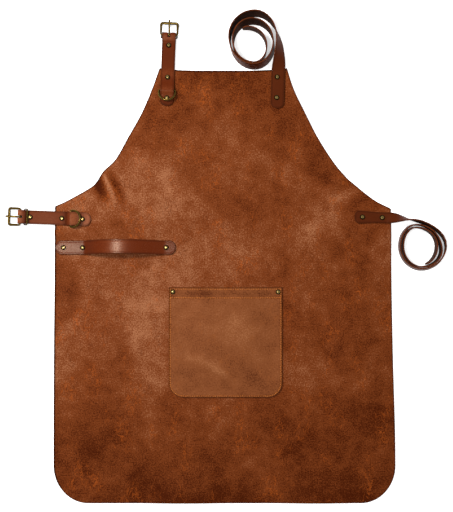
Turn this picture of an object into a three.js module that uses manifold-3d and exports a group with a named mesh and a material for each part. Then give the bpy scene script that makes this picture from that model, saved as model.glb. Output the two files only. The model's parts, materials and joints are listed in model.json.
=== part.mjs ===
// Leather work apron, lying face up on the ground: body, patch pocket, tool loop, buckle straps, long ties.
// Millimetres. +X is to the right, +Y towards the bib, +Z up, and the ground is z = 0.
// The origin is on the underside, on the centre line, level with the waist straps.
import * as THREE from 'three';
import { mergeVertices } from 'three/addons/utils/BufferGeometryUtils.js';
import Module from 'manifold-3d';

const wasm = await Module();
wasm.setup();

// Walls and clearances
const APRON_WALL = 1.8;
const POCKET_WALL = 1.6;
const STRAP_WALL = 2.4;
const STRAP_WIDTH = 24.6;
const GAP = 0.3;
const GROUND_GAP = 0.1;
const SEAT_LIFT = 1.6;
const SEAT_TOP = SEAT_LIFT + APRON_WALL;
const STRAP_LEVEL = SEAT_TOP + GAP + STRAP_WALL / 2;
const STRAP_TOP = STRAP_LEVEL + STRAP_WALL / 2;
const ROUND_END_ANGLES = [24, 42, 62, 90];
const ROUND_END_DEPTH = 0.8;
const CUTTER_LENGTH = 60;

// Apron body: where its left and right edges run, from the bib down to the round bottom corners
const APRON_SECTIONS = [
  { y: 270.3, left: -114.9, right: 113.9 },
  { y: 235.2, left: -127.5, right: 125.2 },
  { y: 192.0, left: -145.8, right: 145.7 },
  { y: 148.8, left: -170.0, right: 167.9 },
  { y: 105.6, left: -195.0, right: 195.1 },
  { y: 84.0, left: -216.7, right: 211.6 },
  { y: 73.2, left: -223.6, right: 221.1 },
  { y: 62.4, left: -231.0, right: 234.5 },
  { y: 51.6, left: -245.9, right: 247.2 },
  { y: 40.8, left: -264.8, right: 260.4 },
  { y: 30.0, left: -284.8, right: 276.2 },
  { y: 22.2, left: -302.0, right: 292.0 },
  { y: 21.4, left: -302.8, right: 293.7 },
  { y: 18.4, left: -302.8, right: 299.8 },
  { y: 17.8, left: -302.8, right: 300.6 },
  { y: -13.2, left: -303.0, right: 301.4 },
  { y: -100.0, left: -303.6, right: 302.0 },
  { y: -240.0, left: -305.0, right: 304.5 },
  { y: -412.8, left: -305.6, right: 309.0 },
  { y: -443.7, left: -305.6, right: 309.2 },
];
const APRON_CORNER = { across: 62.5, down: 68 };
const BIB_DIP = 4.4;
const BIB_DIP_REACH = 40;
const BIB_DIP_POWER = 4;
const EDGE_INSETS = [0, 8, 17, 28, 45];
const MIDDLE_COLUMNS = 11;
const ROW_STEPS = [
  { to: 192, step: 20 },
  { to: 105.6, step: 22 },
  { to: 84, step: 11 },
  { to: 21.4, step: 7 },
  { to: 17.8, step: 3.6 },
  { to: -13.2, step: 16 },
  { to: -39, step: 6.5 },
  { to: -443.7, step: 42 },
];
const CORNER_ROWS = 5;

// Where the leather is held off the ground by rivet backs and by the straps and pocket above it
const SEATS = [
  { left: -150, right: 150, bottom: 180, top: 300 },
  { left: -330, right: -80, bottom: -85, top: 26 },
  { left: 205, right: 330, bottom: -24, top: 32 },
  { left: -148, right: 152, bottom: -365, top: -92 },
];
const SEAT_SLOPE = 34;

// Folds: a long low ridge at x, y along an angle in degrees, with half its length and half its width
const APRON_FOLDS = [
  { x: -205, y: 58, angle: 113, length: 42, width: 11, height: 5.2 },
  { x: 205, y: 67, angle: 45, length: 46, width: 18, height: 3.4 },
  { x: -306, y: -25.5, angle: 0, length: 56, width: 11, height: 2.6 },
  { x: 45, y: 115, angle: 62, length: 68, width: 50, height: 2.6 },
  { x: -215, y: -290, angle: 82, length: 170, width: 70, height: 3.2 },
  { x: 230, y: -240, angle: 98, length: 190, width: 66, height: 3.4 },
  { x: -70, y: -512, angle: 90, length: 70, width: 85, height: 2.6 },
  { x: 170, y: -512, angle: 84, length: 62, width: 70, height: 2.2 },
];

// Pocket
const POCKET = { left: -98.0, right: 105.4, top: -122.9, bottom: -320.6, corner: 26 };
const POCKET_BELLY = 6.6;
const POCKET_SEAM = 13;
const POCKET_RISE = 60;
const POCKET_FOOT_RISE = 105;
const POCKET_HEM = 19.5;
const POCKET_HEM_EXTRA = 1.1;
const POCKET_HEM_STEP = 1;
const POCKET_COLUMNS = 12;
const POCKET_ROWS = 9;
const POCKET_CORNER_ROWS = 4;
const POCKET_FOLDS = [
  { x: -8, y: -262, angle: -43, length: 78, width: 20, height: 1.7 },
];

// Rivets: domed cap, post and flat back
const CAP_RADIUS = 4.5;
const CAP_RIM = 0.7;
const CAP_HEIGHT = 2.3;
const CAP_SHOULDER = { radius: 0.72 * CAP_RADIUS, height: 0.8 * CAP_HEIGHT };
const POST_RADIUS = 1.5;
const BACK_RADIUS = 4;
const BACK_HEIGHT = 1.2;
const HOLE_RADIUS = POST_RADIUS + GAP;
const RIVET_SIDES = 10;
const POCKET_RIVETS = [
  { name: 'pocket_rivet_left', x: -90.9, y: -131.2 },
  { name: 'pocket_rivet_right', x: 98.1, y: -131.4 },
];

// Tool loop: a strap along x, arched between its inner rivets, highest to the left of the arch's middle
const LOOP = {
  left: -301, right: -86, y: -52, bow: 2.4, arch: 15.5, archLeft: -246.5, archRight: -109, skew: 0.28,
};
const LOOP_WIDTH = 25.2;
const ARCH_STEPS = 16;
const LOOP_RIVETS = [
  { name: 'loop_rivet_outer', x: -286.9 },
  { name: 'loop_rivet_inner', x: -252.5 },
  { name: 'loop_rivet_far', x: -102.8 },
];

// Buckle straps: one pattern used twice, measured along the strap from its rounded end
const BUCKLE_STRAPS = [
  {
    name: 'neck', x: -102.2, y: 202.1, turn: 87.8,
    ringBarAt: 28, humpBefore: 10, humpAfter: 16,
    barHeight: 7.6, frameEndHeight: 7.6, rivetHeight: 5.4, keeperBehind: true,
  },
  {
    name: 'waist', x: -238.3, y: -1.5, turn: 177.8,
    ringBarAt: 36, humpBefore: 13, humpAfter: 10,
    barHeight: 5.2, frameEndHeight: 2.1, rivetHeight: 4.4, keeperBehind: false,
  },
];
const RING_RIVET_AT = 14.5;
const EDGE_RIVET_AT = 51.5;
const STRAP_LEAVES_AT = 68;
const BUCKLE_RIVET_AT = 108.2;
const BUCKLE_BAR_AT = 126.7;
const FLAP_END_AT = 101;
const RIVET_PINCH = 4.7;
const MOUTH_AT = 116.6;
const MOUTH_OPENING = 5.5;
const MOUTH_RISE = 0.3;
const HUMP_STEPS = 4;
const TURN_STEPS = 8;
const SLOT_WIDTH = 4.2;
const SLOT_LENGTH = 20;
const SLOT_START = BUCKLE_BAR_AT - 4.6;

// Wire hardware
const FRAME_WIRE = 2.0;
const FRAME_HALF_WIDTH = 14.8;
const FRAME_REACH = 20.8;
const FRAME_CORNER = 3.2;
const PRONG_WIRE = 1.4;
const PRONG_REACH = 27;
const PRONG_TIP = 1.2;
const EYE_RADIUS = 3.8;
const EYE_BORE = FRAME_WIRE + 0.4;
const EYE_WIDTH = 3.0;
const EYE_SEGMENTS = 14;
const KEEPER_WIRE = 1.2;
const KEEPER_HALF_WIDTH = 14;
const KEEPER_HEIGHT = 8.2;
const KEEPER_CORNER = 2;
const KEEPER_FRONT_AT = 119.2;
const KEEPER_BEHIND_AT = 121.3;
const KEEPER_LEAN = 50;
const RING_WIRE = 1.8;
const RING_HALF_WIDTH = 14.6;
const RING_ARM = 5;
const RING_REACH = 18.8;
const RING_CORNER = 2.2;
const RING_TILT = 18;
const RING_ARC_STEPS = 10;
const CORNER_STEPS = 3;
const WIRE_SIDES = 8;
const HUMP = 2 * RING_WIRE + GAP;

// Long ties: flat run over the apron, then a roll given by its turning points, one for each quarter turn
const TIES = [
  {
    name: 'neck_tie', endWidth: STRAP_WIDTH, width: STRAP_WIDTH, tapers: 60, edge: 1, lastQuarter: 0.27,
    lean: { x: -3.0, y: 5.6 }, leanEnds: 640, leanFade: 190,
    run: [{ x: 96.3, y: 198.2 }, { x: 97.9, y: 259 }, { x: 99.2, y: 277 }, { x: 100.0, y: 292 }],
    twistFrom: 60, twistLength: 103, leaves: 74,
    rivets: [
      { name: 'neck_tie_rivet_lower', x: 95.4, y: 217.0 },
      { name: 'neck_tie_rivet_upper', x: 96.2, y: 253.8 },
    ],
    quarters: [
      { x: 100.0, y: 305.0 }, { x: 56.8, y: 366.4 }, { x: 10.9, y: 320.5 }, { x: 54.6, y: 271.6 },
      { x: 89.6, y: 311.0 }, { x: 51.2, y: 352.4 }, { x: 17.2, y: 315.5 }, { x: 53.6, y: 275.9 },
      { x: 76.9, y: 306.0 }, { x: 43.0, y: 340.2 }, { x: 18.0, y: 316.0 },
    ],
    startsUpright: true,
  },
  {
    name: 'waist_tie', endWidth: 24, width: 19.5, tapers: 44, edge: -1, lastQuarter: 0.92,
    lean: { x: -2.6, y: 3.8 }, leanEnds: 340, leanFade: 110,
    run: [{ x: 235.4, y: 3.3 }, { x: 292, y: 1.5 }, { x: 303, y: 1.1 }],
    twistFrom: 56, twistLength: 62, leaves: 70,
    rivets: [
      { name: 'waist_tie_rivet_inner', x: 249.0, y: 2.8 },
      { name: 'waist_tie_rivet_outer', x: 284.5, y: 1.7 },
    ],
    quarters: [
      { x: 308.0, y: 0.9 }, { x: 397.4, y: -50.0 }, { x: 354.0, y: -90.9 }, { x: 314.9, y: -49.5 },
      { x: 344.0, y: -11.0 }, { x: 388.8, y: -57.0 }, { x: 353.5, y: -86.3 }, { x: 320.2, y: -49.5 },
      { x: 343.5, y: -16.0 }, { x: 380.8, y: -49.0 }, { x: 353.0, y: -83.2 },
    ],
    startsUpright: false,
  },
];
const QUARTER_STEPS = 5;
const RUN_STEP = 5.5;
const HEADING_REACH = 1.5;
const LANDING_DELAY = 3;
const LANDING_LENGTH = 34;
const NEAR = 0.01;

const leather = (colour) => new THREE.MeshStandardMaterial({ color: colour, roughness: 0.6, metalness: 0 });
const BODY_LEATHER = leather(0x8a4a26);
const STRAP_LEATHER = leather(0x6b2f16);
const BRASS = new THREE.MeshStandardMaterial({ color: 0x7a6232, roughness: 0.35, metalness: 1 });

const radians = THREE.MathUtils.degToRad;
const vec = (x, y, z) => new THREE.Vector3(x, y, z);
const smooth = (t) => THREE.MathUtils.smoothstep(t, 0, 1);
const bump = (t) => (Math.abs(t) < 1 ? (1 - t * t) ** 2 : 0);

// Closed surface from points and triangles, turned so that its faces point out
function closedSurface(points, triangles) {
  let volume = 0;
  for (let i = 0; i < triangles.length; i += 3) {
    const [a, b, c] = [points[triangles[i]], points[triangles[i + 1]], points[triangles[i + 2]]];
    volume += a.dot(b.clone().cross(c));
  }
  const geometry = new THREE.BufferGeometry();
  geometry.setAttribute('position', new THREE.Float32BufferAttribute(points.flatMap((p) => p.toArray()), 3));
  geometry.setIndex(volume < 0 ? triangles.toReversed() : triangles);
  return geometry;
}

// Skin over a run of like rings, joined end to end or capped
function skin(rings, joined = false) {
  const count = rings[0].length;
  const triangles = [];
  const spans = joined ? rings.length : rings.length - 1;
  for (let i = 0; i < spans; i++) {
    const here = i * count;
    const next = ((i + 1) % rings.length) * count;
    for (let j = 0; j < count; j++) {
      const k = (j + 1) % count;
      triangles.push(here + j, here + k, next + k, here + j, next + k, next + j);
    }
  }
  const last = (rings.length - 1) * count;
  for (let j = 1; j < count - 1 && !joined; j++) {
    triangles.push(0, j + 1, j, last, last + j, last + j + 1);
  }
  return closedSurface(rings.flat(), triangles);
}

// Leather panel: a grid of upper points and a like grid of lower points, closed round the rim
function panel(upper, lower) {
  const rows = upper.length;
  const columns = upper[0].length;
  const below = rows * columns;
  const triangles = [];
  for (let i = 0; i < rows - 1; i++) {
    for (let j = 0; j < columns - 1; j++) {
      const a = i * columns + j;
      const b = a + columns;
      triangles.push(a, b, b + 1, a, b + 1, a + 1);
      triangles.push(below + a, below + b + 1, below + b, below + a, below + a + 1, below + b + 1);
    }
  }
  const rim = [];
  for (let j = 0; j < columns; j++) rim.push(j);
  for (let i = 1; i < rows; i++) rim.push(i * columns + columns - 1);
  for (let j = columns - 2; j >= 0; j--) rim.push((rows - 1) * columns + j);
  for (let i = rows - 2; i > 0; i--) rim.push(i * columns);
  rim.forEach((a, n) => {
    const b = rim[(n + 1) % rim.length];
    triangles.push(a, b, below + b, a, below + b, below + a);
  });
  return closedSurface([...upper.flat(), ...lower.flat()], triangles);
}

// Strap: each station has its centre, the direction across it, and its width there
function strap(stations) {
  const rings = stations.map(({ centre, across, width }, i) => {
    const before = stations[Math.max(i - 1, 0)].centre;
    const after = stations[Math.min(i + 1, stations.length - 1)].centre;
    const along = after.clone().sub(before).normalize();
    const side = across.clone().addScaledVector(along, -across.dot(along)).normalize();
    const face = along.clone().cross(side);
    const corner = (w, t) => centre.clone().addScaledVector(side, (w * width) / 2)
      .addScaledVector(face, (t * STRAP_WALL) / 2);
    return [corner(1, 1), corner(-1, 1), corner(-1, -1), corner(1, -1)];
  });
  return skin(rings);
}

// Distances from a strap's rounded end, and the share of its width there
function roundEnd(width) {
  return ROUND_END_ANGLES.map((angle) => ({
    from: ROUND_END_DEPTH * (width / 2) * (1 - Math.cos(radians(angle))),
    share: Math.sin(radians(angle)),
  }));
}

// Wire bent to a flat closed path
function wireLoop(path, radius) {
  const rings = path.map((point, i) => {
    const before = path[(i + path.length - 1) % path.length];
    const after = path[(i + 1) % path.length];
    const along = after.clone().sub(before).normalize();
    const out = vec(along.y, -along.x, 0);
    const ring = [];
    for (let k = 0; k < WIRE_SIDES; k++) {
      const angle = ((k + 0.5) / WIRE_SIDES) * 2 * Math.PI;
      ring.push(point.clone().addScaledVector(out, radius * Math.cos(angle))
        .add(vec(0, 0, radius * Math.sin(angle))));
    }
    return ring;
  });
  return skin(rings, true);
}

// Part of a circle or ellipse in the plane of a wire loop
function arc(x, y, radiusX, radiusY, fromAngle, toAngle, steps) {
  return Array.from({ length: steps + 1 }, (_, i) => {
    const angle = radians(fromAngle + ((toAngle - fromAngle) * i) / steps);
    return vec(x + radiusX * Math.cos(angle), y + radiusY * Math.sin(angle), 0);
  });
}

// Flat path round a rectangle with round corners, from x = 0 to the length and half the width to each side
function roundedRectangle(length, halfWidth, corner) {
  const inner = halfWidth - corner;
  return [
    ...arc(length - corner, inner, corner, corner, 0, 90, CORNER_STEPS),
    ...arc(corner, inner, corner, corner, 90, 180, CORNER_STEPS),
    vec(0, 0, 0),
    ...arc(corner, -inner, corner, corner, 180, 270, CORNER_STEPS),
    ...arc(length - corner, -inner, corner, corner, 270, 360, CORNER_STEPS),
    vec(length, 0, 0),
  ];
}

function toSolid(geometry) {
  const bare = geometry.clone();
  bare.deleteAttribute('normal');
  bare.deleteAttribute('uv');
  const merged = mergeVertices(bare, 1e-4);
  return new wasm.Manifold(new wasm.Mesh({
    numProp: 3,
    vertProperties: Float32Array.from(merged.attributes.position.array),
    triVerts: Uint32Array.from(merged.index.array),
  }));
}

function toGeometry(solid) {
  const mesh = solid.getMesh();
  const geometry = new THREE.BufferGeometry();
  geometry.setAttribute('position', new THREE.BufferAttribute(Float32Array.from(mesh.vertProperties), 3));
  geometry.setIndex(new THREE.BufferAttribute(Uint32Array.from(mesh.triVerts), 1));
  return geometry;
}

function cut(geometry, cutters) {
  return toGeometry(cutters.reduce((solid, cutter) => solid.subtract(toSolid(cutter)), toSolid(geometry)));
}

// Holes for rivet posts at the given places
function punch(geometry, places) {
  return cut(geometry, places.map(({ x, y }) => {
    const drill = new THREE.CylinderGeometry(HOLE_RADIUS, HOLE_RADIUS, CUTTER_LENGTH, RIVET_SIDES);
    return drill.rotateX(Math.PI / 2).translate(x, y, 0);
  }));
}

function piece(name, geometry, material) {
  const mesh = new THREE.Mesh(geometry, material);
  mesh.name = name;
  return mesh;
}

// Rivet through leather whose lowest and highest faces are given
function rivet(name, x, y, low, high) {
  const back = low - GAP;
  const seat = high + GAP;
  const profile = [
    [0, back - BACK_HEIGHT], [BACK_RADIUS, back - BACK_HEIGHT], [BACK_RADIUS, back], [POST_RADIUS, back],
    [POST_RADIUS, seat], [CAP_RADIUS, seat], [CAP_RADIUS, seat + CAP_RIM],
    [CAP_SHOULDER.radius, seat + CAP_SHOULDER.height], [0, seat + CAP_HEIGHT],
  ].map(([r, z]) => new THREE.Vector2(r, z));
  const geometry = new THREE.LatheGeometry(profile, RIVET_SIDES).rotateX(Math.PI / 2);
  return piece(name, geometry.translate(x, y, 0), BRASS);
}

// Value of one column of a section table at a height, on a smooth curve that never overshoots
function sectionAt(table, column, y) {
  const n = Math.max(1, table.findIndex((row) => row.y <= y));
  const slope = (i) => (table[i + 1][column] - table[i][column]) / (table[i + 1].y - table[i].y);
  const tangent = (i) => {
    if (i === 0) return slope(0);
    if (i === table.length - 1) return slope(i - 1);
    const [a, b] = [slope(i - 1), slope(i)];
    return a * b > 0 ? (2 * a * b) / (a + b) : 0;
  };
  const [upper, lower] = [table[n - 1], table[n]];
  const span = lower.y - upper.y;
  const t = (y - upper.y) / span;
  return (2 * t ** 3 - 3 * t ** 2 + 1) * upper[column] + (t ** 3 - 2 * t ** 2 + t) * span * tangent(n - 1)
    + (3 * t ** 2 - 2 * t ** 3) * lower[column] + (t ** 3 - t ** 2) * span * tangent(n);
}

function foldHeight(folds, x, y) {
  return folds.reduce((sum, fold) => {
    const angle = radians(fold.angle);
    const along = (x - fold.x) * Math.cos(angle) + (y - fold.y) * Math.sin(angle);
    const over = (y - fold.y) * Math.cos(angle) - (x - fold.x) * Math.sin(angle);
    return sum + fold.height * bump(along / fold.length) * bump(over / fold.width);
  }, 0);
}

// Height of the apron's underside above the ground
function apronHeight(x, y) {
  const held = SEATS.map((seat) => {
    const dx = Math.max(seat.left - x, 0, x - seat.right);
    const dy = Math.max(seat.bottom - y, 0, y - seat.top);
    return smooth(1 - Math.hypot(dx, dy) / SEAT_SLOPE);
  });
  return SEAT_LIFT * Math.max(...held) + foldHeight(APRON_FOLDS, x, y);
}

// Heights of the apron's rows, closer together where its edge turns
function apronRows() {
  const rows = [APRON_SECTIONS[0].y];
  for (const { to, step } of ROW_STEPS) {
    const from = rows.at(-1);
    const count = Math.round((from - to) / step);
    for (let i = 1; i <= count; i++) rows.push(from + ((to - from) * i) / count);
  }
  const corner = rows.at(-1);
  for (let i = 1; i <= CORNER_ROWS; i++) {
    rows.push(corner - APRON_CORNER.down * Math.sin(radians((90 * i) / CORNER_ROWS)));
  }
  return rows;
}

function apronEdges(y) {
  const last = APRON_SECTIONS.at(-1);
  const depth = Math.max(0, last.y - y) / APRON_CORNER.down;
  const inset = APRON_CORNER.across * (1 - Math.sqrt(Math.max(0, 1 - depth ** 2)));
  const level = Math.max(y, last.y);
  return {
    left: sectionAt(APRON_SECTIONS, 'left', level) + inset,
    right: sectionAt(APRON_SECTIONS, 'right', level) - inset,
  };
}

function apronBody(holes) {
  const grid = apronRows().map((y) => {
    const { left, right } = apronEdges(y);
    const reach = EDGE_INSETS.at(-1);
    const xs = EDGE_INSETS.map((inset) => left + inset);
    for (let i = 1; i < MIDDLE_COLUMNS; i++) {
      xs.push(left + reach + ((right - left - 2 * reach) * i) / MIDDLE_COLUMNS);
    }
    xs.push(...EDGE_INSETS.toReversed().map((inset) => right - inset));
    const top = APRON_SECTIONS[0];
    const fade = smooth(1 - (top.y - y) / BIB_DIP_REACH);
    return xs.map((x) => {
      const dip = BIB_DIP * fade * (1 - (x / top.right) ** BIB_DIP_POWER);
      return vec(x, y - Math.max(0, dip), 0);
    });
  });
  const raise = (extra) => grid.map((row) => row.map((p) => vec(p.x, p.y, apronHeight(p.x, p.y) + extra)));
  return piece('apron_body', punch(panel(raise(APRON_WALL), raise(0)), holes), BODY_LEATHER);
}

// Patch pocket: flat along its seams, bellied between them, with a hem turned to the inside at its mouth
function pocket() {
  const { left, right, top, bottom, corner } = POCKET;
  const ys = [top, top - POCKET_HEM, top - POCKET_HEM - POCKET_HEM_STEP];
  const from = ys.at(-1);
  const to = bottom + corner;
  for (let i = 1; i <= POCKET_ROWS; i++) ys.push(from + ((to - from) * i) / POCKET_ROWS);
  for (let i = 1; i <= POCKET_CORNER_ROWS; i++) {
    ys.push(to - corner * Math.sin(radians((90 * i) / POCKET_CORNER_ROWS)));
  }
  const upper = [];
  const lower = [];
  for (const y of ys) {
    const depth = Math.max(0, to - y);
    const inset = corner - Math.sqrt(Math.max(0, corner ** 2 - depth ** 2));
    const wall = POCKET_WALL + (y >= top - POCKET_HEM ? POCKET_HEM_EXTRA : 0);
    const row = Array.from({ length: POCKET_COLUMNS + 1 }, (_, j) => {
      const x = left + inset + ((right - left - 2 * inset) * j) / POCKET_COLUMNS;
      const side = Math.min(x - left, right - x);
      const free = smooth((side - POCKET_SEAM) / POCKET_RISE);
      const belly = POCKET_BELLY * smooth((y - bottom - POCKET_SEAM) / POCKET_FOOT_RISE);
      const z = SEAT_TOP + GAP + POCKET_HEM_EXTRA + free * (belly + foldHeight(POCKET_FOLDS, x, y));
      return { x, y, z };
    });
    upper.push(row.map(({ x, z }) => vec(x, y, z + POCKET_WALL)));
    lower.push(row.map(({ x, z }) => vec(x, y, z + POCKET_WALL - wall)));
  }
  return piece('pocket', punch(panel(upper, lower), POCKET_RIVETS), BODY_LEATHER);
}

function toolLoop() {
  const { left, right, y, bow, arch, archLeft, archRight, skew } = LOOP;
  const ends = roundEnd(LOOP_WIDTH);
  const stations = [];
  const add = (x, share = 1) => {
    const t = THREE.MathUtils.clamp((x - archLeft) / (archRight - archLeft), 0, 1);
    const early = t + skew * t * (1 - t);
    const rise = 4 * early * (1 - early);
    const centre = vec(x, y + bow * rise, STRAP_LEVEL + arch * rise);
    stations.push({ centre, across: vec(0, 1, 0), width: LOOP_WIDTH * share });
  };
  ends.forEach(({ from, share }) => add(left + from, share));
  for (let i = 0; i <= ARCH_STEPS; i++) add(archLeft + ((archRight - archLeft) * i) / ARCH_STEPS);
  ends.toReversed().forEach(({ from, share }) => add(right - from, share));
  const holes = LOOP_RIVETS.map(({ x }) => ({ x, y }));
  return piece('tool_loop', punch(strap(stations), holes), STRAP_LEATHER);
}

// Height halfway between a buckle strap's two layers, from where they part to the buckle's bar
function mouthMiddle({ barHeight, rivetHeight }, along) {
  const t = THREE.MathUtils.clamp((along - MOUTH_AT) / (BUCKLE_BAR_AT - MOUTH_AT), 0, 1);
  return THREE.MathUtils.lerp(rivetHeight + MOUTH_RISE, barHeight, t);
}

// Buckle strap in its own frame: x along it from the rounded end, z above the ground
function buckleStrap(row) {
  const { name, ringBarAt, humpBefore, humpAfter, barHeight, rivetHeight } = row;
  const points = [];
  const add = (x, z, share = 1) => points.push({ x, z, share });
  const pinch = (STRAP_WALL + GAP) / 2;
  const turn = FRAME_WIRE + GAP + STRAP_WALL / 2;
  roundEnd(STRAP_WIDTH).forEach(({ from, share }) => add(from, STRAP_LEVEL, share));
  for (let i = -HUMP_STEPS; i <= HUMP_STEPS; i++) {
    const t = i / HUMP_STEPS;
    const reach = t < 0 ? humpBefore : humpAfter;
    add(ringBarAt + reach * t, STRAP_LEVEL + (HUMP * (1 + Math.cos(Math.PI * t))) / 2);
  }
  add(EDGE_RIVET_AT, STRAP_LEVEL);
  add(STRAP_LEAVES_AT, STRAP_LEVEL);
  const bends = [
    { x: BUCKLE_RIVET_AT - RIVET_PINCH, z: rivetHeight, apart: pinch },
    { x: BUCKLE_RIVET_AT + RIVET_PINCH, z: rivetHeight, apart: pinch },
    { x: MOUTH_AT, z: mouthMiddle(row, MOUTH_AT), apart: MOUTH_OPENING / 2 },
  ];
  bends.forEach(({ x, z, apart }) => add(x, z + apart));
  for (let i = 0; i <= TURN_STEPS; i++) {
    const angle = radians(90 - (180 * i) / TURN_STEPS);
    add(BUCKLE_BAR_AT + turn * Math.cos(angle), barHeight + turn * Math.sin(angle));
  }
  bends.toReversed().forEach(({ x, z, apart }) => add(x, z - apart));
  add(FLAP_END_AT, rivetHeight - pinch);
  const stations = points.map(({ x, z, share }) => ({
    centre: vec(x, 0, z), across: vec(0, 1, 0), width: STRAP_WIDTH * share,
  }));
  const slot = new THREE.BoxGeometry(SLOT_LENGTH, SLOT_WIDTH, CUTTER_LENGTH)
    .translate(SLOT_START + SLOT_LENGTH / 2, 0, 0);
  const holes = [RING_RIVET_AT, EDGE_RIVET_AT, BUCKLE_RIVET_AT].map((x) => ({ x, y: 0 }));
  return piece(`${name}_buckle_strap`, cut(punch(strap(stations), holes), [slot]), STRAP_LEATHER);
}

function ringPath() {
  const inner = RING_HALF_WIDTH - RING_CORNER;
  return [
    vec(0, 0, 0),
    ...arc(RING_CORNER, -inner, RING_CORNER, RING_CORNER, 180, 270, CORNER_STEPS),
    ...arc(RING_ARM, 0, RING_REACH - RING_ARM, RING_HALF_WIDTH, -90, 90, RING_ARC_STEPS),
    ...arc(RING_CORNER, inner, RING_CORNER, RING_CORNER, 90, 180, CORNER_STEPS),
  ];
}

// Prong: an eye round the frame's bar and a tapered rod, along x from the bar
function prongGeometry() {
  const ring = new THREE.Shape().absarc(0, 0, EYE_RADIUS, 0, 2 * Math.PI);
  ring.holes.push(new THREE.Path().absarc(0, 0, EYE_BORE, 0, 2 * Math.PI, true));
  const extrusion = { depth: EYE_WIDTH, bevelEnabled: false, curveSegments: EYE_SEGMENTS };
  const eye = new THREE.ExtrudeGeometry(ring, extrusion).translate(0, 0, -EYE_WIDTH / 2).rotateX(Math.PI / 2);
  const rodRings = [
    { x: (EYE_BORE + EYE_RADIUS) / 2, radius: PRONG_WIRE }, { x: FRAME_REACH, radius: PRONG_WIRE },
    { x: PRONG_REACH - PRONG_TIP, radius: 0.9 * PRONG_WIRE }, { x: PRONG_REACH, radius: 0.5 * PRONG_WIRE },
  ].map(({ x, radius }) => Array.from({ length: WIRE_SIDES }, (_, k) => {
    const angle = ((k + 0.5) / WIRE_SIDES) * 2 * Math.PI;
    return vec(x, radius * Math.cos(angle), radius * Math.sin(angle));
  }));
  return toGeometry(toSolid(eye).add(toSolid(skin(rodRings))));
}

// Buckle strap with its hardware and rivets, laid out along its own x axis
function buckleStrapAssembly(row) {
  const { name, x, y, turn, ringBarAt, barHeight, frameEndHeight, rivetHeight, keeperBehind } = row;
  const group = new THREE.Group();
  group.position.set(x, y, 0);
  group.rotation.z = radians(turn);

  const frame = piece(`${name}_buckle_frame`, wireLoop(
    roundedRectangle(FRAME_REACH, FRAME_HALF_WIDTH, FRAME_CORNER), FRAME_WIRE), BRASS);
  frame.position.set(BUCKLE_BAR_AT, 0, barHeight);
  frame.rotation.y = Math.asin((barHeight - frameEndHeight) / FRAME_REACH);

  const prong = piece(`${name}_buckle_prong`, prongGeometry(), BRASS);
  const prongRest = frameEndHeight + FRAME_WIRE + GAP + PRONG_WIRE;
  prong.position.copy(frame.position);
  prong.rotation.y = Math.asin((barHeight - prongRest) / FRAME_REACH);

  const keeper = piece(`${name}_keeper`, wireLoop(
    roundedRectangle(KEEPER_HEIGHT, KEEPER_HALF_WIDTH, KEEPER_CORNER), KEEPER_WIRE), BRASS);
  const keeperAt = keeperBehind ? KEEPER_BEHIND_AT : KEEPER_FRONT_AT;
  const nipped = mouthMiddle(row, keeperAt);
  keeper.position.set(keeperAt, 0, nipped);
  keeper.rotation.y = keeperBehind
    ? Math.asin((nipped - KEEPER_WIRE - GROUND_GAP) / KEEPER_HEIGHT)
    : -radians(90 + KEEPER_LEAN);

  const ring = piece(`${name}_d_ring`, wireLoop(ringPath(), RING_WIRE), BRASS);
  ring.position.set(ringBarAt, 0, SEAT_TOP + GAP + RING_WIRE);
  ring.rotation.y = Math.PI + radians(RING_TILT);

  const pair = STRAP_WALL + GAP / 2;
  group.add(
    buckleStrap(row), frame, prong, keeper, ring,
    rivet(`${name}_ring_rivet`, RING_RIVET_AT, 0, SEAT_LIFT, STRAP_TOP),
    rivet(`${name}_edge_rivet`, EDGE_RIVET_AT, 0, SEAT_LIFT, STRAP_TOP),
    rivet(`${name}_buckle_rivet`, BUCKLE_RIVET_AT, 0, rivetHeight - pair, rivetHeight + pair),
  );
  return group;
}

// Path of a tie over the apron and round its roll, on quarter ellipses between its turning points
function tiePath({ run, quarters, startsUpright, lastQuarter }) {
  const path = [];
  for (let i = 0; i < run.length; i++) {
    const next = run[i + 1] ?? quarters[0];
    const count = Math.max(1, Math.round(Math.hypot(next.x - run[i].x, next.y - run[i].y) / RUN_STEP));
    for (let k = 0; k < count; k++) {
      path.push(new THREE.Vector2().lerpVectors(run[i], next, k / count));
    }
  }
  for (let i = 0; i < quarters.length - 1; i++) {
    const [a, b] = [quarters[i], quarters[i + 1]];
    const upright = startsUpright === (i % 2 === 0);
    const share = i === quarters.length - 2 ? lastQuarter : 1;
    for (let k = 0; k < QUARTER_STEPS; k++) {
      const angle = (share * k * Math.PI) / 2 / QUARTER_STEPS;
      const [lead, lag] = [Math.sin(angle), 1 - Math.cos(angle)];
      path.push(new THREE.Vector2(
        a.x + (b.x - a.x) * (upright ? lag : lead),
        a.y + (b.y - a.y) * (upright ? lead : lag),
      ));
    }
  }
  return path;
}

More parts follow.
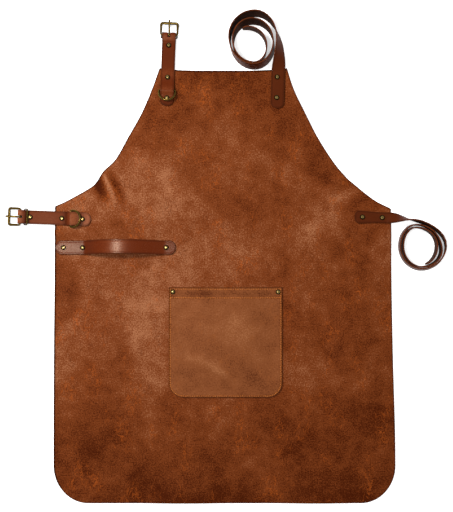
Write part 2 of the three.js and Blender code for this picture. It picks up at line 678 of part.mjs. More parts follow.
function tie(row) {
  const { name, endWidth, width, tapers, edge, lean, leanEnds, leanFade } = row;
  const { twistFrom, twistLength, leaves, rivets } = row;
  const path = tiePath(row);
  const curve = [0];
  for (let i = 1; i < path.length; i++) curve.push(curve[i - 1] + path[i].distanceTo(path[i - 1]));
  const total = curve.at(-1);
  const tips = roundEnd(width);
  const at = (s) => {
    const i = Math.min(path.length - 2, Math.max(0, curve.findIndex((c) => c > s) - 1));
    return new THREE.Vector2().lerpVectors(path[i], path[i + 1], (s - curve[i]) / (curve[i + 1] - curve[i]));
  };
  const distances = [
    ...tips.map(({ from }) => from),
    ...curve.filter((s) => Math.min(s, total - s) > tips.at(-1).from + HEADING_REACH),
    ...tips.toReversed().map(({ from }) => total - from),
  ];
  const stations = distances.map((s) => {
    const point = at(s);
    const ahead = at(Math.min(total, s + HEADING_REACH));
    const heading = ahead.sub(at(Math.max(0, s - HEADING_REACH))).normalize();
    const twisted = THREE.MathUtils.clamp((s - twistFrom) / twistLength, 0, 1);
    const twist = (Math.PI / 2) * Math.sin((Math.PI / 2) * twisted);
    const broad = THREE.MathUtils.lerp(endWidth, width, smooth(s / tapers));
    const tip = tips.find(({ from }) => from + NEAR >= Math.min(s, total - s)) ?? { share: 1 };
    const landed = smooth((s - leaves - LANDING_DELAY) / LANDING_LENGTH);
    const stand = THREE.MathUtils.lerp(SEAT_TOP + GAP, GROUND_GAP, landed);
    const fall = (smooth((leanEnds - s) / leanFade) * Math.sin(twist)) / width;
    const up = vec(lean.x * fall, lean.y * fall, 1).normalize();
    const across = vec(heading.y, -heading.x, 0).multiplyScalar(Math.cos(twist))
      .addScaledVector(up, -edge * Math.sin(twist));
    const z = stand + (STRAP_WALL / 2) * Math.cos(twist) + (broad / 2) * Math.sin(twist);
    return { centre: vec(point.x, point.y, z), across, width: broad * tip.share };
  });
  return piece(name, punch(strap(stations), rivets), STRAP_LEATHER);
}

// Place of a point on a buckle strap in the apron's frame
function strapPoint({ x, y, turn }, along) {
  return { x: x + along * Math.cos(radians(turn)), y: y + along * Math.sin(radians(turn)) };
}

const apron = new THREE.Group();
const tieRivets = TIES.flatMap(({ rivets }) => rivets);
const onApron = [
  ...BUCKLE_STRAPS.flatMap((row) => [RING_RIVET_AT, EDGE_RIVET_AT].map((along) => strapPoint(row, along))),
  ...tieRivets,
  ...LOOP_RIVETS.map(({ x }) => ({ x, y: LOOP.y })),
  ...POCKET_RIVETS,
];
const pocketTop = SEAT_TOP + GAP + POCKET_HEM_EXTRA + POCKET_WALL;
apron.add(apronBody(onApron), pocket(), toolLoop());
apron.add(...BUCKLE_STRAPS.map(buckleStrapAssembly));
apron.add(...TIES.map(tie));
apron.add(...tieRivets.map(({ name, x, y }) => rivet(name, x, y, SEAT_LIFT, STRAP_TOP)));
apron.add(...LOOP_RIVETS.map(({ name, x }) => rivet(name, x, LOOP.y, SEAT_LIFT, STRAP_TOP)));
apron.add(...POCKET_RIVETS.map(({ name, x, y }) => rivet(name, x, y, SEAT_LIFT, pocketTop)));

export default apron;
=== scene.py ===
"""A leather work apron laid out flat on a pale floor, seen from straight above.

The sections follow the way the apron is put together: the hide, the pocket sewn to it, the tool loop, the
two buckle straps with their brass, the two long ties, and last the rivets that hold it all. Lengths are in
metres.
"""
import json
import math

import bpy
import numpy as np
from mathutils import Matrix, Vector, noise
from mathutils.kdtree import KDTree


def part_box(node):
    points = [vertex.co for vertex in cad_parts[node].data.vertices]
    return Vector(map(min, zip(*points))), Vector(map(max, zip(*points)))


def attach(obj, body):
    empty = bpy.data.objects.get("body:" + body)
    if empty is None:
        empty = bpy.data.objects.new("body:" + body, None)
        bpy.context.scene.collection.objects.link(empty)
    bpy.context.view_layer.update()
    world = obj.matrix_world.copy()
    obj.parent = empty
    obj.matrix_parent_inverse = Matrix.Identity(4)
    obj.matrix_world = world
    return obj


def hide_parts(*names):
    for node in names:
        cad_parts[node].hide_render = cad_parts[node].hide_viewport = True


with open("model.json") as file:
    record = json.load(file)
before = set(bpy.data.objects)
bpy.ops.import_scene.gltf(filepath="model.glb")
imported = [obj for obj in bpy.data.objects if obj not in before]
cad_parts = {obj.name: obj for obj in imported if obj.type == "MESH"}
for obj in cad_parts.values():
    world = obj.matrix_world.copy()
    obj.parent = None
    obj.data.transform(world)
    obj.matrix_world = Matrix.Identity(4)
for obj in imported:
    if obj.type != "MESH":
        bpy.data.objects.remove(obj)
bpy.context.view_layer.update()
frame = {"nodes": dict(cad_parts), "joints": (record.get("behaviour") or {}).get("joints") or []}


# Studio
# A pale floor with a painted glow that washes out the cast shadows round the apron, and ambient occlusion
# fades the glow in narrow gaps so they stay dark as painted shade. There is a small softbox overhead, a key
# light at the upper left and a weak fill on the right. The camera looks straight down from a metre and a half
# up.
PIXEL = 0.0018
FRAME_PIXELS = 512
CAMERA_PLACE = (0.0054, -0.0671, 1.5)
FLOOR_SIZE, FLOOR_DROP = 30.0, 0.0002

camera = bpy.data.objects.new("camera", bpy.data.cameras.new("camera"))
camera.data.sensor_width = 36.0
camera.data.lens = camera.data.sensor_width * CAMERA_PLACE[2] / (FRAME_PIXELS * PIXEL)
camera.location = CAMERA_PLACE
bpy.context.scene.collection.objects.link(camera)
bpy.context.scene.camera = camera
bpy.context.scene.view_settings.view_transform = "Standard"


def softbox(name, place, aim, size, watts, mirrored=True):
    """A round softbox, which need not show in shiny pieces."""
    light = bpy.data.lights.new(name, "AREA")
    light.shape = "DISK"
    light.size = size
    light.energy = watts
    lamp = bpy.data.objects.new(name, light)
    lamp.location = place
    lamp.rotation_euler = (Vector(aim) - Vector(place)).to_track_quat("-Z", "Y").to_euler()
    lamp.visible_glossy = mirrored
    bpy.context.scene.collection.objects.link(lamp)


softbox("overhead_softbox", place=(-0.50, -0.06, 1.75), aim=(-0.10, -0.06, 0.0), size=0.30, watts=11.0)
softbox("left_key", place=(-1.10, 0.70, 1.45), aim=(0.0, -0.05, 0.0), size=0.45, watts=39.0, mirrored=False)
softbox("right_fill", place=(1.45, -0.15, 1.6), aim=(0.0, -0.05, 0.0), size=0.9, watts=11.0, mirrored=False)


def put(tree, kind, settings=None, **inputs):
    """A shader node with its settings made, and each named input linked or set."""
    node = tree.nodes.new("ShaderNode" + kind)
    for key, value in (settings or {}).items():
        setattr(node, key, value)
    for key, value in inputs.items():
        wire(tree, value, node.inputs[key.replace("_", " ")])
    return node


def wire(tree, value, socket):
    if isinstance(value, bpy.types.NodeSocket):
        tree.links.new(value, socket)
    else:
        socket.default_value = value


def calc(tree, operation, *values, clamp=False):
    node = put(tree, "Math", {"operation": operation, "use_clamp": clamp})
    for value, socket in zip(values, node.inputs):
        wire(tree, value, socket)
    return node.outputs[0]


def ease(tree, value, start, end, low=0.0, high=1.0):
    """The value eased from low to high as it goes from start to end."""
    node = put(tree, "MapRange", {"interpolation_type": "SMOOTHSTEP"}, Value=value,
               From_Min=start, From_Max=end, To_Min=low, To_Max=high)
    return node.outputs[0]


def tint(tree, share, first, second, mode="MIX"):
    """The first colour, changed towards the second by its share."""
    node = put(tree, "Mix", {"data_type": "RGBA", "blend_type": mode})
    for value, index in ((share, 0), (first, 6), (second, 7)):
        wire(tree, value, node.inputs[index])
    return node.outputs[2]


world = bpy.data.worlds.new("studio_world")
bpy.context.scene.world = world
world.use_nodes = True
sky = world.node_tree
HORIZON_LIGHT, ZENITH_LIGHT = 0.55, 0.20
height = put(sky, "SeparateXYZ", Vector=put(sky, "TexCoord").outputs["Generated"]).outputs["Z"]
sky_light = sky.nodes["Background"].inputs
wire(sky, ease(sky, height, 0.05, 0.75, HORIZON_LIGHT, ZENITH_LIGHT), sky_light["Strength"])
sky_light["Color"].default_value = (1.0, 1.0, 1.0, 1.0)


def new_material(name):
    material = bpy.data.materials.new(name)
    material.use_nodes = True
    return material, material.node_tree, material.node_tree.nodes["Principled BSDF"]


floor_mesh = bpy.data.meshes.new("floor")
half_floor = FLOOR_SIZE / 2
floor_corners = [(x * half_floor, y * half_floor, 0) for x, y in ((-1, -1), (1, -1), (1, 1), (-1, 1))]
floor_mesh.from_pydata(floor_corners, [], [(0, 1, 2, 3)])
floor = bpy.data.objects.new("floor", floor_mesh)
floor.location.z = -FLOOR_DROP
bpy.context.scene.collection.objects.link(floor)
floor_paint, tree, surface = new_material("floor_paint")
surface.inputs["Base Color"].default_value = (0.93, 0.93, 0.925, 1.0)
surface.inputs["Roughness"].default_value = 0.9
surface.inputs["Emission Strength"].default_value = 0.6
# Painted light: the floor glows to wash out cast shadows, and the glow fades by ambient occlusion so narrow
# gaps stay dark
open_sky = put(tree, "AmbientOcclusion", {"samples": 12}, Distance=0.03).outputs["AO"]
painted_floor_glow = tint(tree, ease(tree, open_sky, 0.01, 0.06), (0.0, 0.0, 0.0, 1.0), (1.0, 1.0, 1.0, 1.0))
wire(tree, painted_floor_glow, surface.inputs["Emission Color"])
floor_mesh.materials.append(floor_paint)


# Hide
# The apron's body is one sheet of waxed pull-up leather, cut with a knife: bib, curved armholes, straight
# sides and round bottom corners. It lies on the floor with soft ripples and folds, and rivet backs hold it up
# a little round the straps and the pocket.
HIDE_WALL = 0.0018
HIDE_BEVEL = 0.0005
HIDE_Y, HIDE_LEFT, HIDE_RIGHT = np.array([
    (0.2703, -0.1149, 0.1139), (0.2352, -0.1275, 0.1252), (0.1920, -0.1458, 0.1457),
    (0.1488, -0.1700, 0.1679), (0.1056, -0.1950, 0.1951), (0.0840, -0.2167, 0.2116),
    (0.0732, -0.2236, 0.2211), (0.0624, -0.2310, 0.2345), (0.0516, -0.2459, 0.2472),
    (0.0408, -0.2648, 0.2604), (0.0300, -0.2848, 0.2762), (0.0222, -0.3020, 0.2920),
    (0.0214, -0.3028, 0.2937), (0.0184, -0.3028, 0.2998), (0.0178, -0.3028, 0.3006),
    (-0.0132, -0.3030, 0.3014), (-0.1000, -0.3036, 0.3020), (-0.2400, -0.3050, 0.3045),
    (-0.4128, -0.3056, 0.3090), (-0.4437, -0.3056, 0.3092),
]).T
HIDE_CORNER_ACROSS, HIDE_CORNER_DOWN = 0.0625, 0.068
HIDE_SHARP_ROWS = HIDE_Y[11:15]
HIDE_SHARP_CLEAR = 0.0006
BIB_DIP, BIB_DIP_REACH, BIB_DIP_POWER = 0.0044, 0.040, 4
HIDE_COLUMNS = 132
HIDE_ROW = 0.0046
HIDE_CORNER_ROWS = 18
SEAT_LIFT, SEAT_SLOPE = 0.0016, 0.034
SEAT_TOP = SEAT_LIFT + HIDE_WALL
SEATS = (
    {"left": -0.150, "right": 0.150, "bottom": 0.180, "top": 0.300},
    {"left": -0.330, "right": -0.080, "bottom": -0.085, "top": 0.026},
    {"left": 0.205, "right": 0.330, "bottom": -0.024, "top": 0.032},
    {"left": -0.148, "right": 0.152, "bottom": -0.365, "top": -0.092},
)
HIDE_FOLDS = (
    {"x": -0.205, "y": 0.058, "angle": 113, "length": 0.042, "width": 0.011, "height": 0.0052},
    {"x": 0.205, "y": 0.067, "angle": 45, "length": 0.046, "width": 0.018, "height": 0.0034},
    {"x": -0.306, "y": -0.0255, "angle": 0, "length": 0.056, "width": 0.011, "height": 0.0026},
    {"x": 0.045, "y": 0.115, "angle": 62, "length": 0.068, "width": 0.050, "height": 0.0026},
    {"x": -0.215, "y": -0.290, "angle": 82, "length": 0.170, "width": 0.070, "height": 0.0032},
    {"x": 0.230, "y": -0.240, "angle": 98, "length": 0.190, "width": 0.066, "height": 0.0034},
    {"x": -0.070, "y": -0.512, "angle": 90, "length": 0.070, "width": 0.085, "height": 0.0026},
    {"x": 0.170, "y": -0.512, "angle": 84, "length": 0.062, "width": 0.070, "height": 0.0022},
)
RIPPLE, RIPPLE_LENGTH = 0.0006, 0.055
# Where the hide is lighter or darker than its mean: place, angle, half its length and width, and tone. They
# hold
# painted light: a broad pool of painted sheen at the centre left, painted shade towards the right and the
# bottom, and painted highlights and painted shade along both armhole folds.
HIDE_TONES_AND_PAINTED_LIGHT = (
    {"x": -0.120, "y": -0.125, "angle": 90, "length": 0.190, "width": 0.150, "tone": 0.26},
    {"x": -0.150, "y": 0.050, "angle": 20, "length": 0.110, "width": 0.080, "tone": 0.12},
    {"x": 0.000, "y": -0.500, "angle": 0, "length": 0.420, "width": 0.230, "tone": -0.24},
    {"x": 0.290, "y": -0.420, "angle": 90, "length": 0.220, "width": 0.170, "tone": -0.20},
    {"x": 0.250, "y": -0.200, "angle": 90, "length": 0.260, "width": 0.170, "tone": -0.16},
    {"x": -0.290, "y": -0.430, "angle": 90, "length": 0.200, "width": 0.140, "tone": -0.22},
    {"x": 0.000, "y": 0.270, "angle": 0, "length": 0.200, "width": 0.150, "tone": -0.20},
    # Painted shade in the valleys and a painted highlight on the ridge of the left armhole fold, then the
    # same by the right one
    {"x": -0.224, "y": 0.060, "angle": 116, "length": 0.044, "width": 0.016, "tone": -0.70},
    {"x": -0.192, "y": 0.056, "angle": 113, "length": 0.046, "width": 0.012, "tone": -0.50},
    {"x": -0.206, "y": 0.058, "angle": 113, "length": 0.040, "width": 0.006, "tone": 0.36},
    {"x": 0.220, "y": 0.046, "angle": 30, "length": 0.045, "width": 0.013, "tone": 0.22},
    {"x": 0.250, "y": 0.036, "angle": 30, "length": 0.045, "width": 0.014, "tone": -0.34},
    {"x": 0.184, "y": 0.072, "angle": 36, "length": 0.055, "width": 0.020, "tone": -0.22},
    {"x": 0.162, "y": 0.105, "angle": 70, "length": 0.045, "width": 0.026, "tone": -0.20},
    {"x": 0.000, "y": -0.520, "angle": 0, "length": 0.420, "width": 0.060, "tone": -0.16},
)


def smooth(t):
    t = np.clip(t, 0.0, 1.0)
    return t * t * (3 - 2 * t)


def bump(t):
    return np.where(np.abs(t) < 1, (1 - t * t) ** 2, 0.0)


def curve_through(at, knots, values):
    """Values at falling places on a smooth curve through the knots, which never overshoots them."""
    slope = np.diff(values) / np.diff(knots)
    product = slope[:-1] * slope[1:]
    total = np.where(product > 0, slope[:-1] + slope[1:], 1.0)
    tangent = np.concatenate([slope[:1], np.where(product > 0, 2 * product / total, 0.0), slope[-1:]])
    i = np.clip(np.searchsorted(-knots, -at) - 1, 0, len(knots) - 2)
    span = knots[i + 1] - knots[i]
    t = (at - knots[i]) / span
    return ((2 * t**3 - 3 * t**2 + 1) * values[i] + (t**3 - 2 * t**2 + t) * span * tangent[i]
            + (3 * t**2 - 2 * t**3) * values[i + 1] + (t**3 - t**2) * span * tangent[i + 1])


def long_bumps(rows, value, x, y):
    """Sum of one value over long soft bumps, each at its place and angle."""
    total = np.zeros_like(x)
    for row in rows:
        angle = math.radians(row["angle"])
        along = (x - row["x"]) * math.cos(angle) + (y - row["y"]) * math.sin(angle)
        over = (y - row["y"]) * math.cos(angle) - (x - row["x"]) * math.sin(angle)
        total += row[value] * bump(along / row["length"]) * bump(over / row["width"])
    return total


def hide_height(x, y):
    """Height of the hide's underside above the floor."""
    held = np.zeros_like(x)
    for seat in SEATS:
        dx = np.maximum(np.maximum(seat["left"] - x, x - seat["right"]), 0)
        dy = np.maximum(np.maximum(seat["bottom"] - y, y - seat["top"]), 0)
        held = np.maximum(held, smooth(1 - np.hypot(dx, dy) / SEAT_SLOPE))
    places = zip(x.ravel(), y.ravel())
    ripple = np.array([noise.noise(Vector((a, b, 0.0)) / RIPPLE_LENGTH) for a, b in places])
    ripple = np.maximum(ripple.reshape(x.shape), 0) * RIPPLE * (1 - held)
    return SEAT_LIFT * held + long_bumps(HIDE_FOLDS, "height", x, y) + ripple


def mesh_piece(name, points, faces, uvs, values, materials, face_materials):
    """A smooth mesh with a leather map in metres, values at its points, and a material for each face."""
    mesh = bpy.data.meshes.new(name)
    mesh.from_pydata([tuple(p) for p in points], [], faces)
    corners = np.zeros(len(mesh.loops), np.int32)
    mesh.loops.foreach_get("vertex_index", corners)
    layer = mesh.uv_layers.new(name="leather")
    layer.data.foreach_set("uv", np.asarray(uvs, np.float32)[corners].ravel())
    for label, numbers in values.items():
        attribute = mesh.attributes.new(label, "FLOAT", "POINT")
        attribute.data.foreach_set("value", np.asarray(numbers, np.float32))
    for material in materials:
        mesh.materials.append(material)
    mesh.polygons.foreach_set("material_index", np.asarray(face_materials, np.int32))
    mesh.polygons.foreach_set("use_smooth", np.ones(len(mesh.polygons), bool))
    mesh.update()
    piece = bpy.data.objects.new(name, mesh)
    bpy.context.scene.collection.objects.link(piece)
    return piece


def panel_piece(name, x, y, under, top, bevel, materials, tone):
    """A leather panel over a grid of places, its cut edge rounded: grain on top, flesh below, and the cut."""
    rows, columns = x.shape
    index = np.arange(rows * columns).reshape(rows, columns)
    rim = np.concatenate([index[0, :-1], index[:-1, -1], index[-1, :0:-1], index[:0:-1, 0]])
    flat = np.stack([x.ravel(), y.ravel()], 1)
    along = np.roll(flat[rim], -1, 0) - np.roll(flat[rim], 1, 0)
    out = np.stack([along[:, 1], -along[:, 0]], 1)
    out /= np.linalg.norm(out, axis=1)[:, None]
    if np.sum(out * (flat[rim] - flat.mean(0))) < 0:
        out = -out
    edge_tree = KDTree(len(rim))
    for k, place in enumerate(flat[rim]):
        edge_tree.insert((*place, 0.0), k)
    edge_tree.balance()
    inside = np.array([edge_tree.find((*place, 0.0))[2] for place in flat])
    seat = flat.copy()
    seat[rim] -= bevel * out
    upper = np.column_stack([seat, top.ravel()])
    lower = np.column_stack([seat, under.ravel()])
    rings = []
    for angle in (35, 70, 90):
        a = math.radians(angle)
        rings.append((bevel * math.sin(a), bevel * (math.cos(a) - 1), 1))
    rings += [(out_by, -down, 0) for out_by, down, _ in rings[::-1]]
    rim_points = []
    for out_by, down, on_top in rings:
        level = (top if on_top else under).ravel()[rim] + down
        rim_points.append(np.column_stack([seat[rim] + out_by * out, level]))
    count = rows * columns
    points = np.concatenate([upper, lower, *rim_points])
    corners = (index[:-1, :-1], index[1:, :-1], index[1:, 1:], index[:-1, 1:])
    a, b, c, d = (corner.ravel() for corner in corners)
    faces = np.concatenate([np.stack([a, b, c, d], 1), np.stack([d, c, b, a], 1) + count])
    around = 2 * count + np.arange(len(rim))
    loops = [rim, *(around + k * len(rim) for k in range(len(rings))), rim + count]
    walls = [np.stack([np.roll(first, -1), first, second, np.roll(second, -1)], 1)
             for first, second in zip(loops, loops[1:])]
    kinds = np.concatenate([np.zeros(len(a)), np.ones(len(a)), np.full(len(walls) * len(rim), 2)])
    faces = np.concatenate([faces, *walls])
    if np.cross(flat[index[1, 0]] - flat[index[0, 0]], flat[index[0, 1]] - flat[index[0, 0]]) < 0:
        faces = faces[:, ::-1]
    repeat = len(rings)
    values = {
        "inside": np.concatenate([inside, inside, np.zeros(repeat * len(rim))]),
        "tone": np.concatenate([tone.ravel(), tone.ravel(), np.tile(tone.ravel()[rim], repeat)]),
    }
    uvs = points[:, :2]
    return mesh_piece(name, points, faces.tolist(), uvs, values, materials, kinds)


def node_group(name, inputs, outputs):
    """An empty shader node group with named sockets, and its input and output nodes."""
    group = bpy.data.node_groups.new(name, "ShaderNodeTree")
    for label, kind in inputs:
        group.interface.new_socket(label, in_out="INPUT", socket_type="NodeSocket" + kind)
    for label, kind in outputs:
        group.interface.new_socket(label, in_out="OUTPUT", socket_type="NodeSocket" + kind)
    return group, group.nodes.new("NodeGroupInput").outputs, group.nodes.new("NodeGroupOutput").inputs


def use_group(tree, group, **inputs):
    node = tree.nodes.new("ShaderNodeGroup")
    node.node_tree = group
    for key, value in inputs.items():
        wire(tree, value, node.inputs[key.replace("_", " ")])
    return node.outputs


def noise_node(tree, vector, scale, detail, rough, distortion=0.0):
    return put(tree, "TexNoise", Vector=vector, Scale=scale, Detail=detail, Roughness=rough,
               Distortion=distortion).outputs["Fac"]


def stretched(tree, vector, degrees, scale):
    """The map turned and stretched, for marks that run one way."""
    node = put(tree, "Mapping", Vector=vector)
    node.inputs["Rotation"].default_value = (0.0, 0.0, math.radians(degrees))
    node.inputs["Scale"].default_value = scale
    return node.outputs[0]


# Pull-up colour: wax gathers and parts in clouds, so the hide is cloudy, mottled, and scuffed to orange. The
# tone put in also carries each piece's painted light and shade.
pull_up, given, made = node_group(
    "pull_up_colour",
    (("Vector", "Vector"), ("Tone", "Float"), ("Contrast", "Float"), ("Scuffs", "Float"),
     ("Dark", "Color"), ("Mid", "Color"), ("Light", "Color"), ("Scuff", "Color")),
    (("Color", "Color"), ("Tone", "Float")))
clouds = noise_node(pull_up, given["Vector"], 9.0, 1.0, 0.45, 0.3)
mottle = noise_node(pull_up, given["Vector"], 42.0, 3.0, 0.55, 0.3)
specks = noise_node(pull_up, given["Vector"], 430.0, 3.0, 0.7, 0.2)
spread = 0.0
for source, weight in ((clouds, 0.52), (mottle, 0.42), (specks, 1.10)):
    part = calc(pull_up, "MULTIPLY", calc(pull_up, "SUBTRACT", source, 0.5), weight)
    spread = calc(pull_up, "ADD", part, spread)
tone = calc(pull_up, "MULTIPLY_ADD", spread, given["Contrast"], calc(pull_up, "ADD", given["Tone"], 0.5))
colour = tint(pull_up, ease(pull_up, tone, 0.0, 0.5), given["Dark"], given["Mid"])
colour = tint(pull_up, ease(pull_up, tone, 0.5, 1.0), colour, given["Light"])
for scale, turned, mark, weight in ((95.0, 38, given["Scuff"], 1.0), (120.0, -30, given["Dark"], 0.8)):
    place = stretched(pull_up, given["Vector"], turned, (1.0, 0.55, 1.0))
    bends = noise_node(pull_up, place, scale, 3.0, 0.6, 0.5)
    line = ease(pull_up, calc(pull_up, "ABSOLUTE", calc(pull_up, "SUBTRACT", bends, 0.5)), 0.030, 0.0)
    where = ease(pull_up, noise_node(pull_up, place, scale / 4, 3.0, 0.6), 0.50, 0.64)
    share = calc(pull_up, "MULTIPLY", calc(pull_up, "MULTIPLY", line, where), weight)
    colour = tint(pull_up, calc(pull_up, "MULTIPLY", share, given["Scuffs"]), colour, mark)
wire(pull_up, colour, made["Color"])
wire(pull_up, tone, made["Tone"])

# Grain: small pebbled cells between fine wrinkles, with pores
grain, given, made = node_group(
    "leather_grain", (("Vector", "Vector"), ("Cells", "Float")), (("Height", "Float"),))
warp = put(grain, "TexNoise", Vector=given["Vector"], Scale=260.0, Detail=2.0)
shifted = put(grain, "VectorMath", {"operation": "MULTIPLY_ADD"})
wire(grain, warp.outputs["Color"], shifted.inputs[0])
shifted.inputs[1].default_value = (0.0012, 0.0012, 0.0)
wire(grain, given["Vector"], shifted.inputs[2])
cells = put(grain, "TexVoronoi", {"feature": "SMOOTH_F1"}, Vector=shifted.outputs[0], Scale=given["Cells"],
            Smoothness=0.6).outputs["Distance"]
wrinkles = noise_node(grain, given["Vector"], 120.0, 6.0, 0.68, 0.8)
grain_height = calc(grain, "MULTIPLY_ADD", cells, -0.55, calc(grain, "MULTIPLY", wrinkles, 1.3))
wire(grain, grain_height, made["Height"])


def leather_map(tree):
    return put(tree, "UVMap", {"uv_map": "leather"}).outputs["UV"]


def point_value(tree, label):
    return put(tree, "Attribute", {"attribute_type": "GEOMETRY", "attribute_name": label}).outputs["Fac"]


def shade(r, g, b):
    """A colour from its screen values, 0 to 255."""
    linear = [v / 255 / 12.92 if v <= 10 else ((v / 255 + 0.055) / 1.055) ** 2.4 for v in (r, g, b)]
    return (*linear, 1.0)


def give_relief(tree, surface, height, strength, distance):
    bumped = put(tree, "Bump", Height=height, Strength=strength, Distance=distance)
    wire(tree, bumped.outputs["Normal"], surface.inputs["Normal"])


WARM_WAX = (1.0, 0.80, 0.60, 1.0)


def hide_material(name, dark, mid, light, scuff, contrast, scuffs, rough, shine, cells, relief):
    """Grain side of waxed leather, darker in a thin line beside the cut edge."""
    material, tree, surface = new_material(name)
    place = leather_map(tree)
    # The tone attribute adds each piece's painted light and shade to the leather's own colour
    wax_and_painted_light = use_group(tree, pull_up, Vector=place, Tone=point_value(tree, "tone"), Contrast=contrast,
                    Scuffs=scuffs, Dark=dark, Mid=mid, Light=light, Scuff=scuff)
    near_edge = ease(tree, point_value(tree, "inside"), 0.0042, 0.0004)
    colour = tint(tree, calc(tree, "MULTIPLY", near_edge, 0.55), wax_and_painted_light["Color"], dark)
    wire(tree, colour, surface.inputs["Base Color"])
    wire(tree, ease(tree, wax_and_painted_light["Tone"], 0.1, 0.9, rough + 0.06, rough - 0.05), surface.inputs["Roughness"])
    surface.inputs["Specular IOR Level"].default_value = shine
    surface.inputs["Specular Tint"].default_value = WARM_WAX
    height = use_group(tree, grain, Vector=place, Cells=cells)["Height"]
    give_relief(tree, surface, height, relief, 0.0006)
    return material


def flesh_material(name, colour, fluff):
    """Flesh side or a cut edge: short matt fibres."""
    material, tree, surface = new_material(name)
    place = put(tree, "TexCoord").outputs["Object"]
    nap = noise_node(tree, place, 900.0, 4.0, 0.7)
    cloud = noise_node(tree, place, 60.0, 3.0, 0.6)
    shift = calc(tree, "ADD", calc(tree, "MULTIPLY", nap, 0.6), calc(tree, "MULTIPLY", cloud, 0.4))
    wire(tree, tint(tree, ease(tree, shift, 0.35, 0.65), colour, fluff), surface.inputs["Base Color"])
    surface.inputs["Roughness"].default_value = 0.85
    surface.inputs["Specular IOR Level"].default_value = 0.08
    give_relief(tree, surface, nap, 0.4, 0.0003)
    return material


hide_grain = hide_material(
    "hide_grain", dark=shade(62, 19, 2), mid=shade(107, 50, 19), light=shade(149, 95, 63),
    scuff=shade(156, 74, 24), contrast=1.6, scuffs=0.62, rough=0.5, shine=0.07, cells=620.0, relief=0.32)
hide_flesh = flesh_material("hide_flesh", shade(112, 66, 38), shade(146, 98, 64))
hide_cut = flesh_material("hide_cut", shade(58, 24, 8), shade(100, 47, 20))

even_rows = np.linspace(HIDE_Y[0], HIDE_Y[-1], round((HIDE_Y[0] - HIDE_Y[-1]) / HIDE_ROW))
clear_of_corners = np.abs(even_rows[:, None] - HIDE_SHARP_ROWS).min(1) > HIDE_SHARP_CLEAR
hide_rows = np.concatenate([
    np.sort(np.concatenate([even_rows[clear_of_corners], HIDE_SHARP_ROWS]))[::-1],
    HIDE_Y[-1] - HIDE_CORNER_DOWN * np.sin(np.linspace(0, math.pi / 2, HIDE_CORNER_ROWS + 1)[1:]),
])
hide_level = np.maximum(hide_rows, HIDE_Y[-1])
corner_depth = np.maximum(HIDE_Y[-1] - hide_rows, 0) / HIDE_CORNER_DOWN
corner_inset = HIDE_CORNER_ACROSS * (1 - np.sqrt(np.maximum(1 - corner_depth**2, 0)))
hide_left = curve_through(hide_level, HIDE_Y, HIDE_LEFT) + corner_inset
hide_right = curve_through(hide_level, HIDE_Y, HIDE_RIGHT) - corner_inset
share = np.linspace(0, 1, HIDE_COLUMNS + 1)
hide_x = hide_left[:, None] + (hide_right - hide_left)[:, None] * share
dip = BIB_DIP * smooth(1 - (HIDE_Y[0] - hide_rows) / BIB_DIP_REACH)[:, None]
hide_y = hide_rows[:, None] - np.maximum(dip * (1 - (hide_x / HIDE_RIGHT[0]) ** BIB_DIP_POWER), 0)
hide_under = hide_height(hide_x, hide_y)
hide = panel_piece("apron_hide", hide_x, hide_y, hide_under, hide_under + HIDE_WALL, HIDE_BEVEL,
                   (hide_grain, hide_flesh, hide_cut), long_bumps(HIDE_TONES_AND_PAINTED_LIGHT, "tone", hide_x, hide_y))
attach(hide, "apron")
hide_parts("apron_body")


# Pocket
# A patch of the same leather with its top edge turned in and sewn twice for a hem, sewn to the hide down
# both sides and round the bottom, and riveted at its top corners. Its belly stands open, with one slanting
# crease.
GAP = 0.0003
POCKET_WALL = 0.0016
POCKET_LEFT, POCKET_RIGHT, POCKET_TOP, POCKET_BOTTOM = -0.0980, 0.1054, -0.1229, -0.3206
POCKET_CORNER = 0.026
POCKET_BELLY, POCKET_SEAM, POCKET_RISE, POCKET_FOOT_RISE = 0.0066, 0.013, 0.060, 0.105
POCKET_HEM, POCKET_HEM_EXTRA, POCKET_HEM_STEP = 0.0195, 0.0011, 0.001
POCKET_BEVEL = 0.00055
POCKET_CELL = 0.0019
POCKET_HEM_ROWS, POCKET_CORNER_ROWS = 12, 22
POCKET_FOLDS = ({"x": -0.014, "y": -0.266, "angle": -30, "length": 0.082, "width": 0.017, "height": 0.0019},)
SEAM_INSET = 0.0024
HEM_SEAMS = (-0.1264, -0.1420)
SEAM_GROOVE, SEAM_GROOVE_WIDTH = 0.00045, 0.0013
HEM_DARK, HEM_DARK_REACH = 0.22, 0.0105
# Painted shade in the seam grooves: how dark, and how far it reaches
SEAM_SHADE, SEAM_SHADE_REACH = 0.5, 0.0011
STITCH_PITCH, STITCH_LENGTH, STITCH_RADIUS, STITCH_STANDS = 0.0032, 0.0024, 0.00060, 0.3
# Pocket patches of painted light: a painted highlight along the slanting crease with painted shade beside it,
# among lighter and darker patches; place, angle, half its length and width, and tone
POCKET_TONES_AND_PAINTED_LIGHT = (
    {"x": 0.005, "y": -0.185, "angle": 0, "length": 0.110, "width": 0.060, "tone": 0.14},
    {"x": -0.055, "y": -0.245, "angle": -27, "length": 0.075, "width": 0.040, "tone": 0.12},
    {"x": -0.048, "y": -0.254, "angle": -22, "length": 0.065, "width": 0.013, "tone": 0.13},
    {"x": 0.008, "y": -0.284, "angle": -36, "length": 0.070, "width": 0.011, "tone": 0.20},
    {"x": 0.026, "y": -0.260, "angle": -32, "length": 0.100, "width": 0.030, "tone": -0.17},
    {"x": 0.060, "y": -0.296, "angle": 15, "length": 0.080, "width": 0.040, "tone": -0.12},
)


